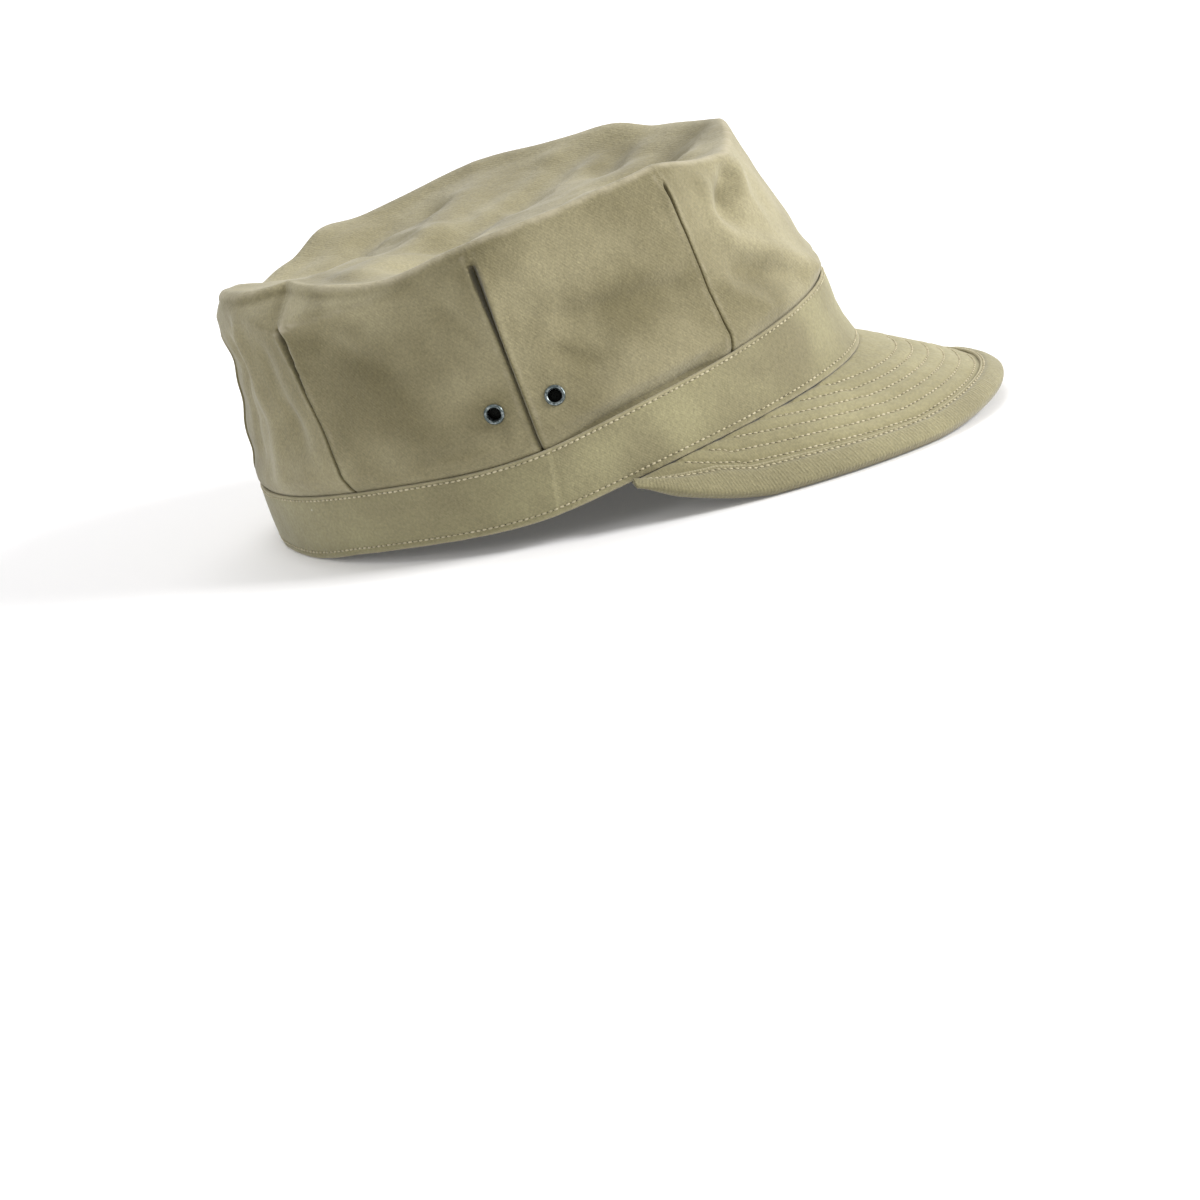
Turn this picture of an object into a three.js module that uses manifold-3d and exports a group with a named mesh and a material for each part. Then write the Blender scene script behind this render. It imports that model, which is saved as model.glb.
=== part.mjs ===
// A field cap of olive cotton twill: a darted crown, a sewn-on band, a short quilted brim with a
// bound edge and four vent eyelets. It stands on the brim's side edges and the back of the band.
//
// Directions: -Y is the front, -X the wearer's right, +Z up. A station is an angle round the head
// in degrees, 0 at the front and positive towards the wearer's right. Lengths are millimetres.

import * as THREE from 'three';
import { mergeVertices } from 'three/addons/utils/BufferGeometryUtils.js';
import Module from 'manifold-3d';

const { degToRad, lerp, smoothstep, clamp } = THREE.MathUtils;

const wasm = await Module();
wasm.setup();

// Driving dimensions
const CROWN_CLOTH = 1.4;
const BAND_CLOTH = 1.6;
const BRIM_THICK = 2.6;
const BINDING_CLOTH = 0.8;
const BINDING_WIDTH = 7;
const END_LIP = 0.35;
const GAP = 0.3;
const REST_TILT = 7.85;
const REST_HEEL = { y: 105.5, z: 1 };

// Plans of the cap: reach forwards, reach backwards, half width, and how far the width narrows
// towards the front and widens towards the back.
const BAND_FOOT = { front: 106.8, back: 105.5, half: 84, frontTaper: 0.12, backTaper: 0.03 };
const BAND_HEAD = { front: 102.2, back: 105.8, half: 84.5, frontTaper: 0.12, backTaper: 0.03 };
const RIM = { front: 90, back: 97.5, half: 72, frontTaper: 0.02, backTaper: 0 };

// Band: its height at the sides and what the front adds, and the dip of its foot over the ears
const BAND_SIDE = 22;
const BAND_FRONT_RISE = 5.5;
const BAND_FRONT_SPREAD = 52;
const EAR_DIP = { station: 98, spread: 20, depth: 3.2 };
const HEEL_FLAT = { from: 135, to: 157 };

// Crown: height of the rim at the back and how far it drops to the front
const RIM_BACK = 91;
const RIM_FRONT_DROP = 11;
const RIM_DROP_FROM = 18;
const RIM_DROP_TO = 62;
const RIM_FLATNESS = 0.6;
const RIM_FOLD = 3.2;
const TOP_CENTRE = { x: 0, y: 3, z: 81 };
const TUCK = 1;
const PUFF_RISE = 0.06;

// One row for each place where the rim leaves its even line: how far up and how far out
const RIM_SWELLS = [
  { station: -18, spread: 12, lift: 4, reach: 2.5 },
  { station: -62, spread: 24, lift: -1.2, reach: 0 },
  { station: -146, spread: 34, lift: -7, reach: 0 },
  { station: 178, spread: 22, lift: -1.5, reach: 1 },
  { station: 112, spread: 15, lift: -5, reach: 0 },
  { station: 129, spread: 12, lift: -3.6, reach: -4 },
];

// One row for each dart: its station at the band and at the rim, the width of its mouth, the
// depth there, and how far up the wall the mouth lies.
const DARTS = [
  { band: 50, rim: 46.5, mouth: 1.6, depth: 1.3, top: 0.93 },
  { band: 92, rim: 93.5, mouth: 2.4, depth: 2.2, top: 0.84 },
  { band: 131, rim: 142, mouth: 2.6, depth: 2.4, top: 0.78 },
  { band: 180, rim: 180, mouth: 2.2, depth: 1.8, top: 0.88 },
  { band: -131, rim: -141, mouth: 2.4, depth: 2.2, top: 0.86 },
  { band: -92, rim: -92, mouth: 2.4, depth: 2.0, top: 0.9 },
  { band: -50, rim: -46.5, mouth: 1.6, depth: 1.3, top: 0.93 },
];
const FRONT_CORNER = 20;
const DART_FOOT = { width: 1.2, depth: 0.5 };
const DART_OPENS = 0.1;
const DART_CLOSES = 0.1;

// Folds and dents of the crown's wall: stations and rise up the wall (0 band, 1 rim) of both
// ends, the spread across in millimetres, and the height, below zero for a hollow.
const WALL_FOLDS = [
  { from: 180, rise: 0.14, to: 128, riseTo: 0.16, spread: 10, height: 2.2 },
  { from: 180, rise: 0.8, to: 160, riseTo: 0.74, spread: 10, height: 1.4 },
  { from: -30, rise: 0.5, to: -8, riseTo: 0.3, spread: 14, height: 1.6 },
  { from: 180, rise: 0.44, to: 142, riseTo: 0.38, spread: 7, height: -1.6 },
  { from: 88, rise: 0.12, to: 20, riseTo: 0.1, spread: 8, height: 1.3 },
  { from: -15, rise: 0.1, to: -125, riseTo: 0.14, spread: 9, height: 1.5 },
  { from: 84, rise: 0.42, to: 56, riseTo: 0.5, spread: 8, height: -1.8 },
  { from: 30, rise: 0.62, to: 27, riseTo: 0.86, spread: 6, height: -2.2 },
  { from: 17, rise: 0.7, to: 14, riseTo: 0.9, spread: 6, height: -1.8 },
  { from: 116, rise: 0.5, to: 104, riseTo: 0.35, spread: 9, height: 1.2 },
  { from: -60, rise: 0.5, to: -84, riseTo: 0.42, spread: 10, height: -1.5 },
];

const WALL_CALM = { foot: 0.12, rim: 0.88 };

// Folds and hollows of the crown's top: both ends, the spread across and the height
const TOP_FOLDS = [
  { x: -40, y: 50, toX: 40, toY: 10, spread: 9, height: 2.0 },
  { x: -30, y: 28, toX: 44, toY: -18, spread: 9, height: -2.2 },
  { x: 10, y: 60, toX: 52, toY: 34, spread: 8, height: -1.6 },
  { x: -10, y: -40, toX: 24, toY: -74, spread: 9, height: -2.0 },
];
const TOP_CALM = 0.3;

// Brim: where it ends at the sides, how far its edge reaches, and how far the edge hangs down
const BRIM_END = 79;
const BRIM_EDGE = { centre: 20.4, front: 147.3, half: 82 };
const BRIM_HANG = [
  { forward: 20.4, down: 3.6 },
  { forward: 36.6, down: 12.4 },
  { forward: 49.9, down: 18.2 },
  { forward: 62.1, down: 22.2 },
  { forward: 75.8, down: 25.3 },
  { forward: 90.1, down: 27.8 },
  { forward: 110, down: 29.3 },
  { forward: 130, down: 29.2 },
  { forward: 147.3, down: 28.4 },
];

// Eyelets: the ring's sizes, and for each of a side's two the distance behind the side dart and
// the height over the band
const EYELET = { outer: 3.5, barrel: 2.6, hole: 2.2, facets: 16 };
const EYELET_PAIR = [
  { end: 'front', behind: -10.3, above: 15.4 },
  { end: 'rear', behind: 10.3, above: 17 },
];
const SIDE_DART = 92;
const SIDE_ARC = 1.81;

// Points closer together than this are one corner, and a normal shorter than this has no direction
const WELD = 1e-4;
const NO_DIRECTION = 1e-12;

const REST_SLOPE = Math.tan(degToRad(REST_TILT));
const EDGE_DEPTH = BRIM_THICK + 2 * (GAP + BINDING_CLOTH);

const bell = (x, centre, spread) => Math.exp(-(((x - centre) / spread) ** 2));
const point = (x, y, z) => new THREE.Vector3(x, y, z);
const between = (a, b, t) => a.clone().lerp(b, t);

/** Turn from one station to another, between -180 and 180. */
function turnBetween(from, to) {
  return ((((to - from + 180) % 360) + 360) % 360) - 180;
}

/** Height of the surface that the cap stands on, below a point at y. */
function restHeight(y) {
  return REST_HEEL.z + REST_SLOPE * (y - REST_HEEL.y);
}

/** Plan position of a station on one of the cap's ovals. */
function oval(station, plan) {
  const forward = Math.cos(degToRad(station));
  const side = Math.sin(degToRad(station));
  const reach = forward > 0 ? plan.front : plan.back;
  const taper = forward > 0 ? plan.frontTaper : plan.backTaper;
  return point(-plan.half * side * (1 - taper * forward), -reach * forward, 0);
}

/** Level direction that points away from the head at a station. */
function outward(station) {
  const along = oval(station + 0.5, BAND_FOOT).sub(oval(station - 0.5, BAND_FOOT));
  return point(-along.y, along.x, 0).normalize();
}

/** How far a station belongs to the heel, where the band's foot is flat on what it rests on. */
function heelShare(station) {
  return smoothstep(Math.abs(station), HEEL_FLAT.from, HEEL_FLAT.to);
}

/** Lower edge of the band, flat at the heel where it rests. */
function bandFoot(station) {
  const foot = oval(station, BAND_FOOT);
  const ear = -EAR_DIP.depth * bell(Math.abs(station), EAR_DIP.station, EAR_DIP.spread);
  foot.z = lerp(ear, restHeight(foot.y), heelShare(station));
  return foot;
}

/** Upper edge of the band. */
function bandHead(station) {
  const head = oval(station, BAND_HEAD);
  const ear = -EAR_DIP.depth * bell(Math.abs(station), EAR_DIP.station, EAR_DIP.spread);
  head.z = ear + BAND_SIDE + BAND_FRONT_RISE * bell(station, 0, BAND_FRONT_SPREAD);
  return head;
}

/** A station at the band carried up to the rim, along the slant of the darts. */
function rimStation(station) {
  const marks = [
    { band: -180, rim: -180 },
    ...DARTS.filter((dart) => Math.abs(dart.band) < 180),
    { band: -FRONT_CORNER, rim: -FRONT_CORNER },
    { band: FRONT_CORNER, rim: FRONT_CORNER },
    { band: 180, rim: 180 },
  ].sort((a, b) => a.band - b.band);
  const next = Math.max(1, marks.findIndex((mark) => mark.band >= station));
  const low = marks[next - 1];
  const high = marks[next];
  const t = (station - low.band) / (high.band - low.band);
  return { station: lerp(low.rim, high.rim, t), low: low.rim, high: high.rim, t };
}

/** Highest line of the crown where its wall folds over into the top. */
function evenRim(station) {
  const rim = oval(station, RIM);
  rim.z = RIM_BACK - RIM_FRONT_DROP * (1 - smoothstep(Math.abs(station), RIM_DROP_FROM, RIM_DROP_TO));
  for (const swell of RIM_SWELLS) {
    const share = bell(turnBetween(swell.station, station), 0, swell.spread);
    rim.addScaledVector(outward(station), swell.reach * share);
    rim.z += swell.lift * share;
  }
  return rim;
}

/** The rim with its flats between the darts. */
function rimLine(station) {
  const place = rimStation(station);
  const flat = between(evenRim(place.low), evenRim(place.high), place.t);
  return between(evenRim(place.station), flat, RIM_FLATNESS);
}

/** Distance from a point to a straight stretch, all in one plane. */
function distanceTo(px, py, ax, ay, bx, by) {
  const length = (bx - ax) ** 2 + (by - ay) ** 2;
  const t = length > 0 ? clamp(((px - ax) * (bx - ax) + (py - ay) * (by - ay)) / length, 0, 1) : 0;
  return Math.hypot(px - lerp(ax, bx, t), py - lerp(ay, by, t));
}

/** How far the darts draw the wall in. */
function dartDepth(station, rise) {
  let depth = 0;
  for (const dart of DARTS) {
    const aside = Math.abs(turnBetween(dart.band, station)) * SIDE_ARC;
    const open = smoothstep(rise, DART_OPENS, dart.top);
    const closed = 1 - smoothstep(rise, dart.top, dart.top + DART_CLOSES);
    const width = lerp(DART_FOOT.width, dart.mouth, open);
    const deep = lerp(DART_FOOT.depth, dart.depth, open) * closed;
    depth += deep * Math.max(0, 1 - aside / width);
  }
  return depth;
}

/** How far the folds raise the wall, below zero for a hollow. */
function wallRelief(station, rise) {
  const wallHeight = RIM_BACK - BAND_SIDE;
  let relief = 0;
  for (const fold of WALL_FOLDS) {
    const distance = distanceTo(
      station * SIDE_ARC, rise * wallHeight,
      fold.from * SIDE_ARC, fold.rise * wallHeight,
      fold.to * SIDE_ARC, fold.riseTo * wallHeight,
    );
    relief += fold.height * bell(distance, 0, fold.spread);
  }
  return relief * smoothstep(rise, 0, WALL_CALM.foot) * (1 - smoothstep(rise, WALL_CALM.rim, 1));
}

/** How far the folds raise the top, below zero for a hollow. */
function topRelief(x, y, inward) {
  let relief = 0;
  for (const fold of TOP_FOLDS) {
    relief += fold.height * bell(distanceTo(x, y, fold.x, fold.y, fold.toX, fold.toY), 0, fold.spread);
  }
  return relief * smoothstep(inward, 0, TOP_CALM);
}

/** The crown's margin inside the band: at 0 its lower edge, at 1 just under the band's head. */
function tuckPoint(station, at) {
  const inset = outward(station).multiplyScalar(-(BAND_CLOTH + GAP));
  const line = between(bandFoot(station), bandHead(station), at);
  line.z += lerp(TUCK, -TUCK, at);
  return line.add(inset);
}

/** The crown's wall: at 0 the band's head, at 1 where the fold of the rim begins. */
function wallPoint(station, at) {
  const away = outward(station);
  const foot = bandHead(station);
  foot.z += GAP;
  const rim = rimLine(station);
  rim.z -= RIM_FOLD;
  const step = -(BAND_CLOTH + GAP) * (1 - smoothstep(at, 0, PUFF_RISE));
  const offset = step + wallRelief(station, at) - dartDepth(station, at);
  return between(foot, rim, at).addScaledVector(away, offset);
}

/** The soft fold of the rim, from the wall at 0 to the top at 1. */
function foldPoint(station, at) {
  const away = outward(station);
  const rim = rimLine(station);
  const turn = degToRad(90 * at);
  rim.addScaledVector(away, -RIM_FOLD * (1 - Math.cos(turn)));
  rim.z -= RIM_FOLD * (1 - Math.sin(turn));
  return rim;
}

/** The sagging top, from the rim at 0 to its middle at 1. */
function topPoint(station, at) {
  const edge = foldPoint(station, 1);
  const middle = point(TOP_CENTRE.x, TOP_CENTRE.y, TOP_CENTRE.z);
  const top = between(edge, middle, at);
  top.z = lerp(middle.z, edge.z, (1 - at) ** 2);
  top.z += topRelief(top.x, top.y, at);
  return top;
}

const CROWN_ZONES = { tuck: tuckPoint, wall: wallPoint, fold: foldPoint, top: topPoint };
const CROWN_ROWS = [
  { zone: 'tuck', steps: [0, 0.96] },
  { zone: 'wall', steps: [0, 0.04, 0.12, 0.22, 0.34, 0.48, 0.62, 0.74, 0.84, 0.92] },
  { zone: 'fold', steps: [0, 0.5, 1] },
  { zone: 'top', steps: [0.14, 0.32, 0.52, 0.76, 1] },
];
const CROWN_STEP = 7;
const DART_COLUMNS = [-1.5, -0.7, 0, 0.7, 1.5];

/** Stations of the crown's columns, close together at the darts. */
function crownStations() {
  const marks = [-FRONT_CORNER, FRONT_CORNER];
  for (const dart of DARTS) {
    for (const aside of DART_COLUMNS) marks.push(turnBetween(0, dart.band + aside));
  }
  marks.sort((a, b) => a - b);
  const stations = [];
  marks.forEach((mark, i) => {
    const next = i + 1 < marks.length ? marks[i + 1] : marks[0] + 360;
    const parts = Math.max(1, Math.round((next - mark) / CROWN_STEP));
    for (let part = 0; part < parts; part++) stations.push(lerp(mark, next, part / parts));
  });
  return stations;
}

/** Evenly spaced values from one end to the other, both ends included. */
function spread(from, to, count) {
  return Array.from({ length: count + 1 }, (_, i) => lerp(from, to, i / count));
}

/** Outward direction at each point of a grid of columns that goes all round, from its neighbours. */
function gridNormals(grid) {
  return grid.map((column, i) => column.map((_, j) => {
    const before = grid.at(i - 1)[j];
    const after = grid[(i + 1) % grid.length][j];
    const low = column[Math.max(j - 1, 0)];
    const high = column[Math.min(j + 1, column.length - 1)];
    const normal = high.clone().sub(low).cross(after.clone().sub(before));
    return normal.lengthSq() > NO_DIRECTION ? normal.normalize() : point(0, 0, 1);
  }));
}

/** One closed body between two matching skins of points, columns first. */
function shell(outer, inner, wraps) {
  const columns = outer.length;
  const rows = outer[0].length;
  const corners = [...outer.flat(), ...inner.flat()];
  const out = (i, j) => (i % columns) * rows + j;
  const inn = (i, j) => columns * rows + out(i, j);
  const faces = [];
  const quad = (a, b, c, d) => faces.push(a, b, c, a, c, d);
  const spans = wraps ? columns : columns - 1;
  for (let i = 0; i < spans; i++) {
    for (let j = 0; j + 1 < rows; j++) {
      quad(out(i, j), out(i + 1, j), out(i + 1, j + 1), out(i, j + 1));
      quad(inn(i, j), inn(i, j + 1), inn(i + 1, j + 1), inn(i + 1, j));
    }
    quad(inn(i, 0), inn(i + 1, 0), out(i + 1, 0), out(i, 0));
    quad(out(i, rows - 1), out(i + 1, rows - 1), inn(i + 1, rows - 1), inn(i, rows - 1));
  }
  for (let j = 0; !wraps && j + 1 < rows; j++) {
    quad(out(0, j), out(0, j + 1), inn(0, j + 1), inn(0, j));
    quad(out(spans, j), inn(spans, j), inn(spans, j + 1), out(spans, j + 1));
  }
  return closedBody(corners, faces);
}

/** Merged geometry without flat triangles, its faces turned outwards. */
function closedBody(corners, faces) {
  const loose = new THREE.BufferGeometry().setFromPoints(corners);
  loose.setIndex(faces);
  const merged = mergeVertices(loose, WELD);
  const index = merged.index.array;
  const kept = [];
  for (let i = 0; i < index.length; i += 3) {
    const [a, b, c] = index.subarray(i, i + 3);
    if (a !== b && b !== c && c !== a) kept.push(a, b, c);
  }
  merged.setIndex(signedVolume(merged, kept) < 0 ? kept.reverse() : kept);
  return merged;
}

/** Volume inside a set of triangles, below zero where they face inwards. */
function signedVolume(geometry, faces) {
  const at = geometry.attributes.position;
  const [a, b, c] = [point(0, 0, 0), point(0, 0, 0), point(0, 0, 0)];
  let volume = 0;
  for (let i = 0; i < faces.length; i += 3) {
    a.fromBufferAttribute(at, faces[i]);
    b.fromBufferAttribute(at, faces[i + 1]);
    c.fromBufferAttribute(at, faces[i + 2]);
    volume += a.dot(b.cross(c)) / 6;
  }
  return volume;
}

/** A solid that can be cut, from a closed geometry. */
function toSolid(geometry) {
  return new wasm.Manifold(new wasm.Mesh({
    numProp: 3,
    vertProperties: new Float32Array(geometry.attributes.position.array),
    triVerts: new Uint32Array(geometry.index.array),
  }));
}

/** Geometry of a cut solid. */
function toGeometry(solid) {
  const mesh = solid.getMesh();
  const geometry = new THREE.BufferGeometry();
  geometry.setAttribute('position', new THREE.BufferAttribute(mesh.vertProperties, 3));
  geometry.setIndex(Array.from(mesh.triVerts));
  return geometry;
}

/** Closed geometry of a three.js primitive: only merged positions are left. */
function welded(geometry) {
  const at = geometry.attributes.position;
  const corners = Array.from({ length: at.count }, (_, i) => point(0, 0, 0).fromBufferAttribute(at, i));
  return closedBody(corners, Array.from(geometry.index.array));
}

// How far round and up the wall an eyelet's seat takes its slope from
const SEAT_TURN = 2;
const SEAT_RISE = 0.05;

/** Where each eyelet sits: a point on the crown's wall and the direction out of the cloth. */
function eyeletSeats() {
  const seats = [];
  for (const side of [{ name: 'right', sign: 1 }, { name: 'left', sign: -1 }]) {
    for (const { end, behind, above } of EYELET_PAIR) {
      const station = side.sign * (SIDE_DART + behind / SIDE_ARC);
      const rise = above / (RIM_BACK - BAND_SIDE);
      const at = wallPoint(station, rise);
      const along = wallPoint(station + SEAT_TURN, rise).sub(wallPoint(station - SEAT_TURN, rise));
      const up = wallPoint(station, rise + SEAT_RISE).sub(wallPoint(station, rise - SEAT_RISE));
      const out = along.cross(up).normalize();
      if (out.dot(outward(station)) < 0) out.negate();
      seats.push({ name: `eyelet_${side.name}_${end}`, at, out });
    }
  }
  return seats;
}

/** Moves a shape made along +Y to an eyelet's seat. */
function seated(geometry, seat) {
  const turn = new THREE.Quaternion().setFromUnitVectors(point(0, 1, 0), seat.out);
  return geometry.applyQuaternion(turn).translate(seat.at.x, seat.at.y, seat.at.z);
}

/** The crown: wall, soft rim and sagging top in one cloth, pierced for the eyelets. */
function crownGeometry(seats) {
  const outer = crownStations().map((station) => CROWN_ROWS.flatMap(
    ({ zone, steps }) => steps.map((at) => CROWN_ZONES[zone](station, at)),
  ));
  const normals = gridNormals(outer);
  const inner = outer.map((column, i) => column.map(
    (here, j) => here.clone().addScaledVector(normals[i][j], -CROWN_CLOTH),
  ));
  let solid = toSolid(shell(outer, inner, true));
  for (const seat of seats) {
    const bore = EYELET.barrel + GAP;
    const drill = welded(new THREE.CylinderGeometry(bore, bore, CROWN_CLOTH * 6, EYELET.facets));
    solid = solid.subtract(toSolid(seated(drill, seat)));
  }
  return toGeometry(solid);
}

const BAND_COLUMNS = 72;
const BAND_ROWS = [
  { at: 0, swell: 0 },
  { at: 0.35, swell: 0.4 },
  { at: 0.75, swell: 0.4 },
  { at: 1, swell: 0 },
];

/** The band: a strip sewn round the foot of the crown. */
function bandGeometry() {
  const outer = [];
  const inner = [];
  for (const station of spread(-180, 180, BAND_COLUMNS).slice(1)) {
    const away = outward(station);
    const foot = bandFoot(station);
    const head = bandHead(station);
    const rows = BAND_ROWS.map(
      ({ at, swell }) => between(foot, head, at).addScaledVector(away, swell),
    );
    outer.push(rows);
    inner.push(rows.map((here) => here.clone().addScaledVector(away, -BAND_CLOTH)));
    const hem = inner.at(-1)[0];
    hem.z = lerp(hem.z, restHeight(hem.y), heelShare(station));
  }
  return shell(outer, inner, true);
}

/** Outer edge of the brim, from -1 at its left end to 1 at its right end. */
function brimEdge(side) {
  const turn = degToRad(90 * side);
  const forward = BRIM_EDGE.centre + (BRIM_EDGE.front - BRIM_EDGE.centre) * Math.cos(turn);
  const next = Math.max(1, BRIM_HANG.findIndex((row) => row.forward >= forward - 1e-9));
  const [near, far] = [BRIM_HANG[next - 1], BRIM_HANG[next]];
  const t = (forward - near.forward) / (far.forward - near.forward);
  const down = lerp(near.down, far.down, t);
  const edge = point(-BRIM_EDGE.half * Math.sin(turn), -forward, -down);
  edge.z = Math.max(edge.z, restHeight(edge.y));
  return edge;
}

/** Direction square to a slanting way, level along the band and pointing up and out. */
function squareTo(way, away) {
  return away.clone().multiplyScalar(-way.z).add(point(0, 0, way.dot(away))).normalize();
}

/** One slanting line of the brim's upper face, from the band to the brim's own edge. */
function brimRay(side) {
  const station = BRIM_END * side;
  const away = outward(station);
  const root = bandFoot(station);
  root.z -= GAP;
  const hem = brimEdge(side);
  const slant = hem.clone().sub(root).normalize();
  const edge = hem.addScaledVector(slant, -GAP - BINDING_CLOTH)
    .addScaledVector(squareTo(slant, away), EDGE_DEPTH - GAP - BINDING_CLOTH);
  const way = edge.clone().sub(root).normalize();
  return { root, away, edge, way, normal: squareTo(way, away), length: edge.distanceTo(root) };
}

const BRIM_STATIONS = spread(-1, 1, 40);
const BRIM_ROWS = [0.2, 0.4, 0.6, 0.8, 1];
const MARGIN_TURN = 0.3;

/** The brim: a quilted plate whose inner margin lies under the band. */
function brimGeometry() {
  const top = [];
  const under = [];
  for (const side of BRIM_STATIONS) {
    const ray = brimRay(side);
    const margin = ray.root.clone().addScaledVector(ray.away, -BAND_CLOTH);
    const slope = BRIM_ROWS.map((row) => between(ray.root, ray.edge, row));
    const below = slope.map((at) => at.clone().addScaledVector(ray.normal, -BRIM_THICK));
    const marginBelow = margin.clone().add(point(0, 0, -BRIM_THICK));
    top.push([margin, ray.root, ...slope]);
    under.push([marginBelow, between(marginBelow, below[0], MARGIN_TURN), ...below]);
  }
  return shell(top, under, false);
}

// Section of the binding round the brim's edge: how far along the brim past its edge and how far
// out of its upper face, for the outside and the inside of the folded strip. The lip rows take
// the strip's width.
const BINDING_SECTION = [
  { lip: 1, along: 0, out: 1.1, innerAlong: 0, innerOut: 0.35 },
  { lip: 0.15, along: 0, out: 1.1, innerAlong: 0, innerOut: 0.35 },
  { lip: 0, along: 0.7, out: 0.7, innerAlong: 0.25, innerOut: 0.35 },
  { lip: 0, along: 1.2, out: -0.4, innerAlong: 0.4, innerOut: -0.5 },
  { lip: 0, along: 1.2, out: -2.2, innerAlong: 0.4, innerOut: -2.1 },
  { lip: 0, along: 0.7, out: -3.4, innerAlong: 0.25, innerOut: -3 },
  { lip: 0.15, along: 0, out: -3.8, innerAlong: 0, innerOut: -3 },
  { lip: 0.65, along: 0, out: -3.8, innerAlong: 0, innerOut: -3 },
];

/** The binding: a strip folded round the brim's edge. */
function bindingGeometry() {
  const outer = [];
  const inner = [];
  for (const side of BRIM_STATIONS) {
    const ray = brimRay(side);
    const width = Math.min(BINDING_WIDTH - BINDING_CLOTH - GAP, ray.length * END_LIP);
    const at = (lip, along, out) => ray.edge.clone()
      .addScaledVector(ray.way, along - lip * width)
      .addScaledVector(ray.normal, out);
    const fold = BINDING_SECTION.map((row) => at(row.lip, row.along, row.out));
    for (const corner of fold) corner.z = Math.max(corner.z, restHeight(corner.y));
    outer.push(fold);
    inner.push(BINDING_SECTION.map((row) => at(row.lip, row.innerAlong, row.innerOut)));
  }
  return shell(outer, inner, false);
}

// Section of an eyelet, turned about its own axis: radius and height over the cloth
const EYELET_SECTION = [
  { radius: EYELET.hole, height: -2.4 },
  { radius: EYELET.outer, height: -2.4 },
  { radius: EYELET.outer, height: -1.95 },
  { radius: EYELET.barrel, height: -1.95 },
  { radius: EYELET.barrel, height: 0.5 },
  { radius: EYELET.outer, height: 0.5 },
  { radius: EYELET.outer - 0.1, height: 0.85 },
  { radius: EYELET.barrel + 0.2, height: 1.1 },
  { radius: EYELET.hole + 0.1, height: 0.95 },
  { radius: EYELET.hole, height: 0.6 },
];

/** An eyelet: two flanges and a barrel through the cloth, open in the middle. */
function eyeletGeometry(seat) {
  const section = EYELET_SECTION.map((row) => new THREE.Vector2(row.radius, row.height));
  section.push(section[0].clone());
  return seated(welded(new THREE.LatheGeometry(section, EYELET.facets)), seat);
}

const cloth = (color, roughness) => new THREE.MeshStandardMaterial({ color, roughness, metalness: 0 });
const crownCloth = cloth(0x8c8462, 0.88);
const bandCloth = cloth(0x8a8360, 0.88);
const brimCloth = cloth(0x918a66, 0.88);
const bindingCloth = cloth(0x857e5c, 0.86);
const eyeletMetal = new THREE.MeshStandardMaterial({ color: 0x4c5352, roughness: 0.45, metalness: 0.8 });

/** A named piece of the cap. */
function piece(name, geometry, material) {
  const mesh = new THREE.Mesh(geometry, material);
  mesh.name = name;
  return mesh;
}

const seats = eyeletSeats();
const cap = new THREE.Group();
cap.add(piece('crown', crownGeometry(seats), crownCloth));
cap.add(piece('band', bandGeometry(), bandCloth));
cap.add(piece('brim', brimGeometry(), brimCloth));
cap.add(piece('brim_binding', bindingGeometry(), bindingCloth));
for (const seat of seats) cap.add(piece(seat.name, eyeletGeometry(seat), eyeletMetal));
cap.rotation.x = -degToRad(REST_TILT);

const group = new THREE.Group();
group.add(cap);
const box = new THREE.Box3().setFromObject(group, true);
cap.position.set(-(box.min.x + box.max.x) / 2, -(box.min.y + box.max.y) / 2, -box.min.z);

export default group;
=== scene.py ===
"""A field cap of sage cotton twill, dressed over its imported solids.

Lengths in the classes are in millimetres, in the cap's own frame: the origin is the middle of the band's foot,
-Y is towards the front of the brim, -X towards the wearer's right and +Z up along the crown. A station is an
angle round the cap in degrees, 0 at the front and positive towards the wearer's right. CapForm.settle() turns
such points into the frame, in metres.
"""
import logging
import math
import random
from dataclasses import dataclass, field
from enum import Enum

import bmesh
import bpy
import numpy as np
from mathutils import Matrix, Vector, noise


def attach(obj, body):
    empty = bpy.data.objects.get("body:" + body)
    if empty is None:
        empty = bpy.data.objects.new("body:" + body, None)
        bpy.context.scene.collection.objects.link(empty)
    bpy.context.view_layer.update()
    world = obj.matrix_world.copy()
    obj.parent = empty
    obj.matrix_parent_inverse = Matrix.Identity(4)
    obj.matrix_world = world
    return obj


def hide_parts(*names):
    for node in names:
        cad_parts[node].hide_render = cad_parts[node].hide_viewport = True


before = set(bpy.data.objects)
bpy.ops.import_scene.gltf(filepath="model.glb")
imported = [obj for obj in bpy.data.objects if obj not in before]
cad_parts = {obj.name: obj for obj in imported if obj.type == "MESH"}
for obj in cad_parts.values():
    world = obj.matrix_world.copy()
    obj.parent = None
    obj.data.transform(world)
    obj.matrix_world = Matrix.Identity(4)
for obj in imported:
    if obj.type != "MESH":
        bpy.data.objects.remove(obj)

log = logging.getLogger("field_cap")

MM = 0.001
WELD = 1e-6
ROOT = "root"


def bell(x: np.ndarray, centre: float, spread: float) -> np.ndarray:
    """A smooth bump of height 1 at centre."""
    return np.exp(-(((x - centre) / spread) ** 2))


def ramp(x: np.ndarray, low: float, high: float) -> np.ndarray:
    """A smooth step from 0 at low to 1 at high."""
    t = np.clip((x - low) / (high - low), 0.0, 1.0)
    return t * t * (3 - 2 * t)


def turn(start: float | np.ndarray, end: float | np.ndarray) -> np.ndarray:
    """The angle from start to end in degrees, from -180 to 180."""
    return (np.asarray(end, float) - start + 180.0) % 360.0 - 180.0


def unit(v: np.ndarray) -> np.ndarray:
    """Each vector at length 1."""
    return v / np.maximum(np.linalg.norm(v, axis=-1, keepdims=True), 1e-12)


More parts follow.
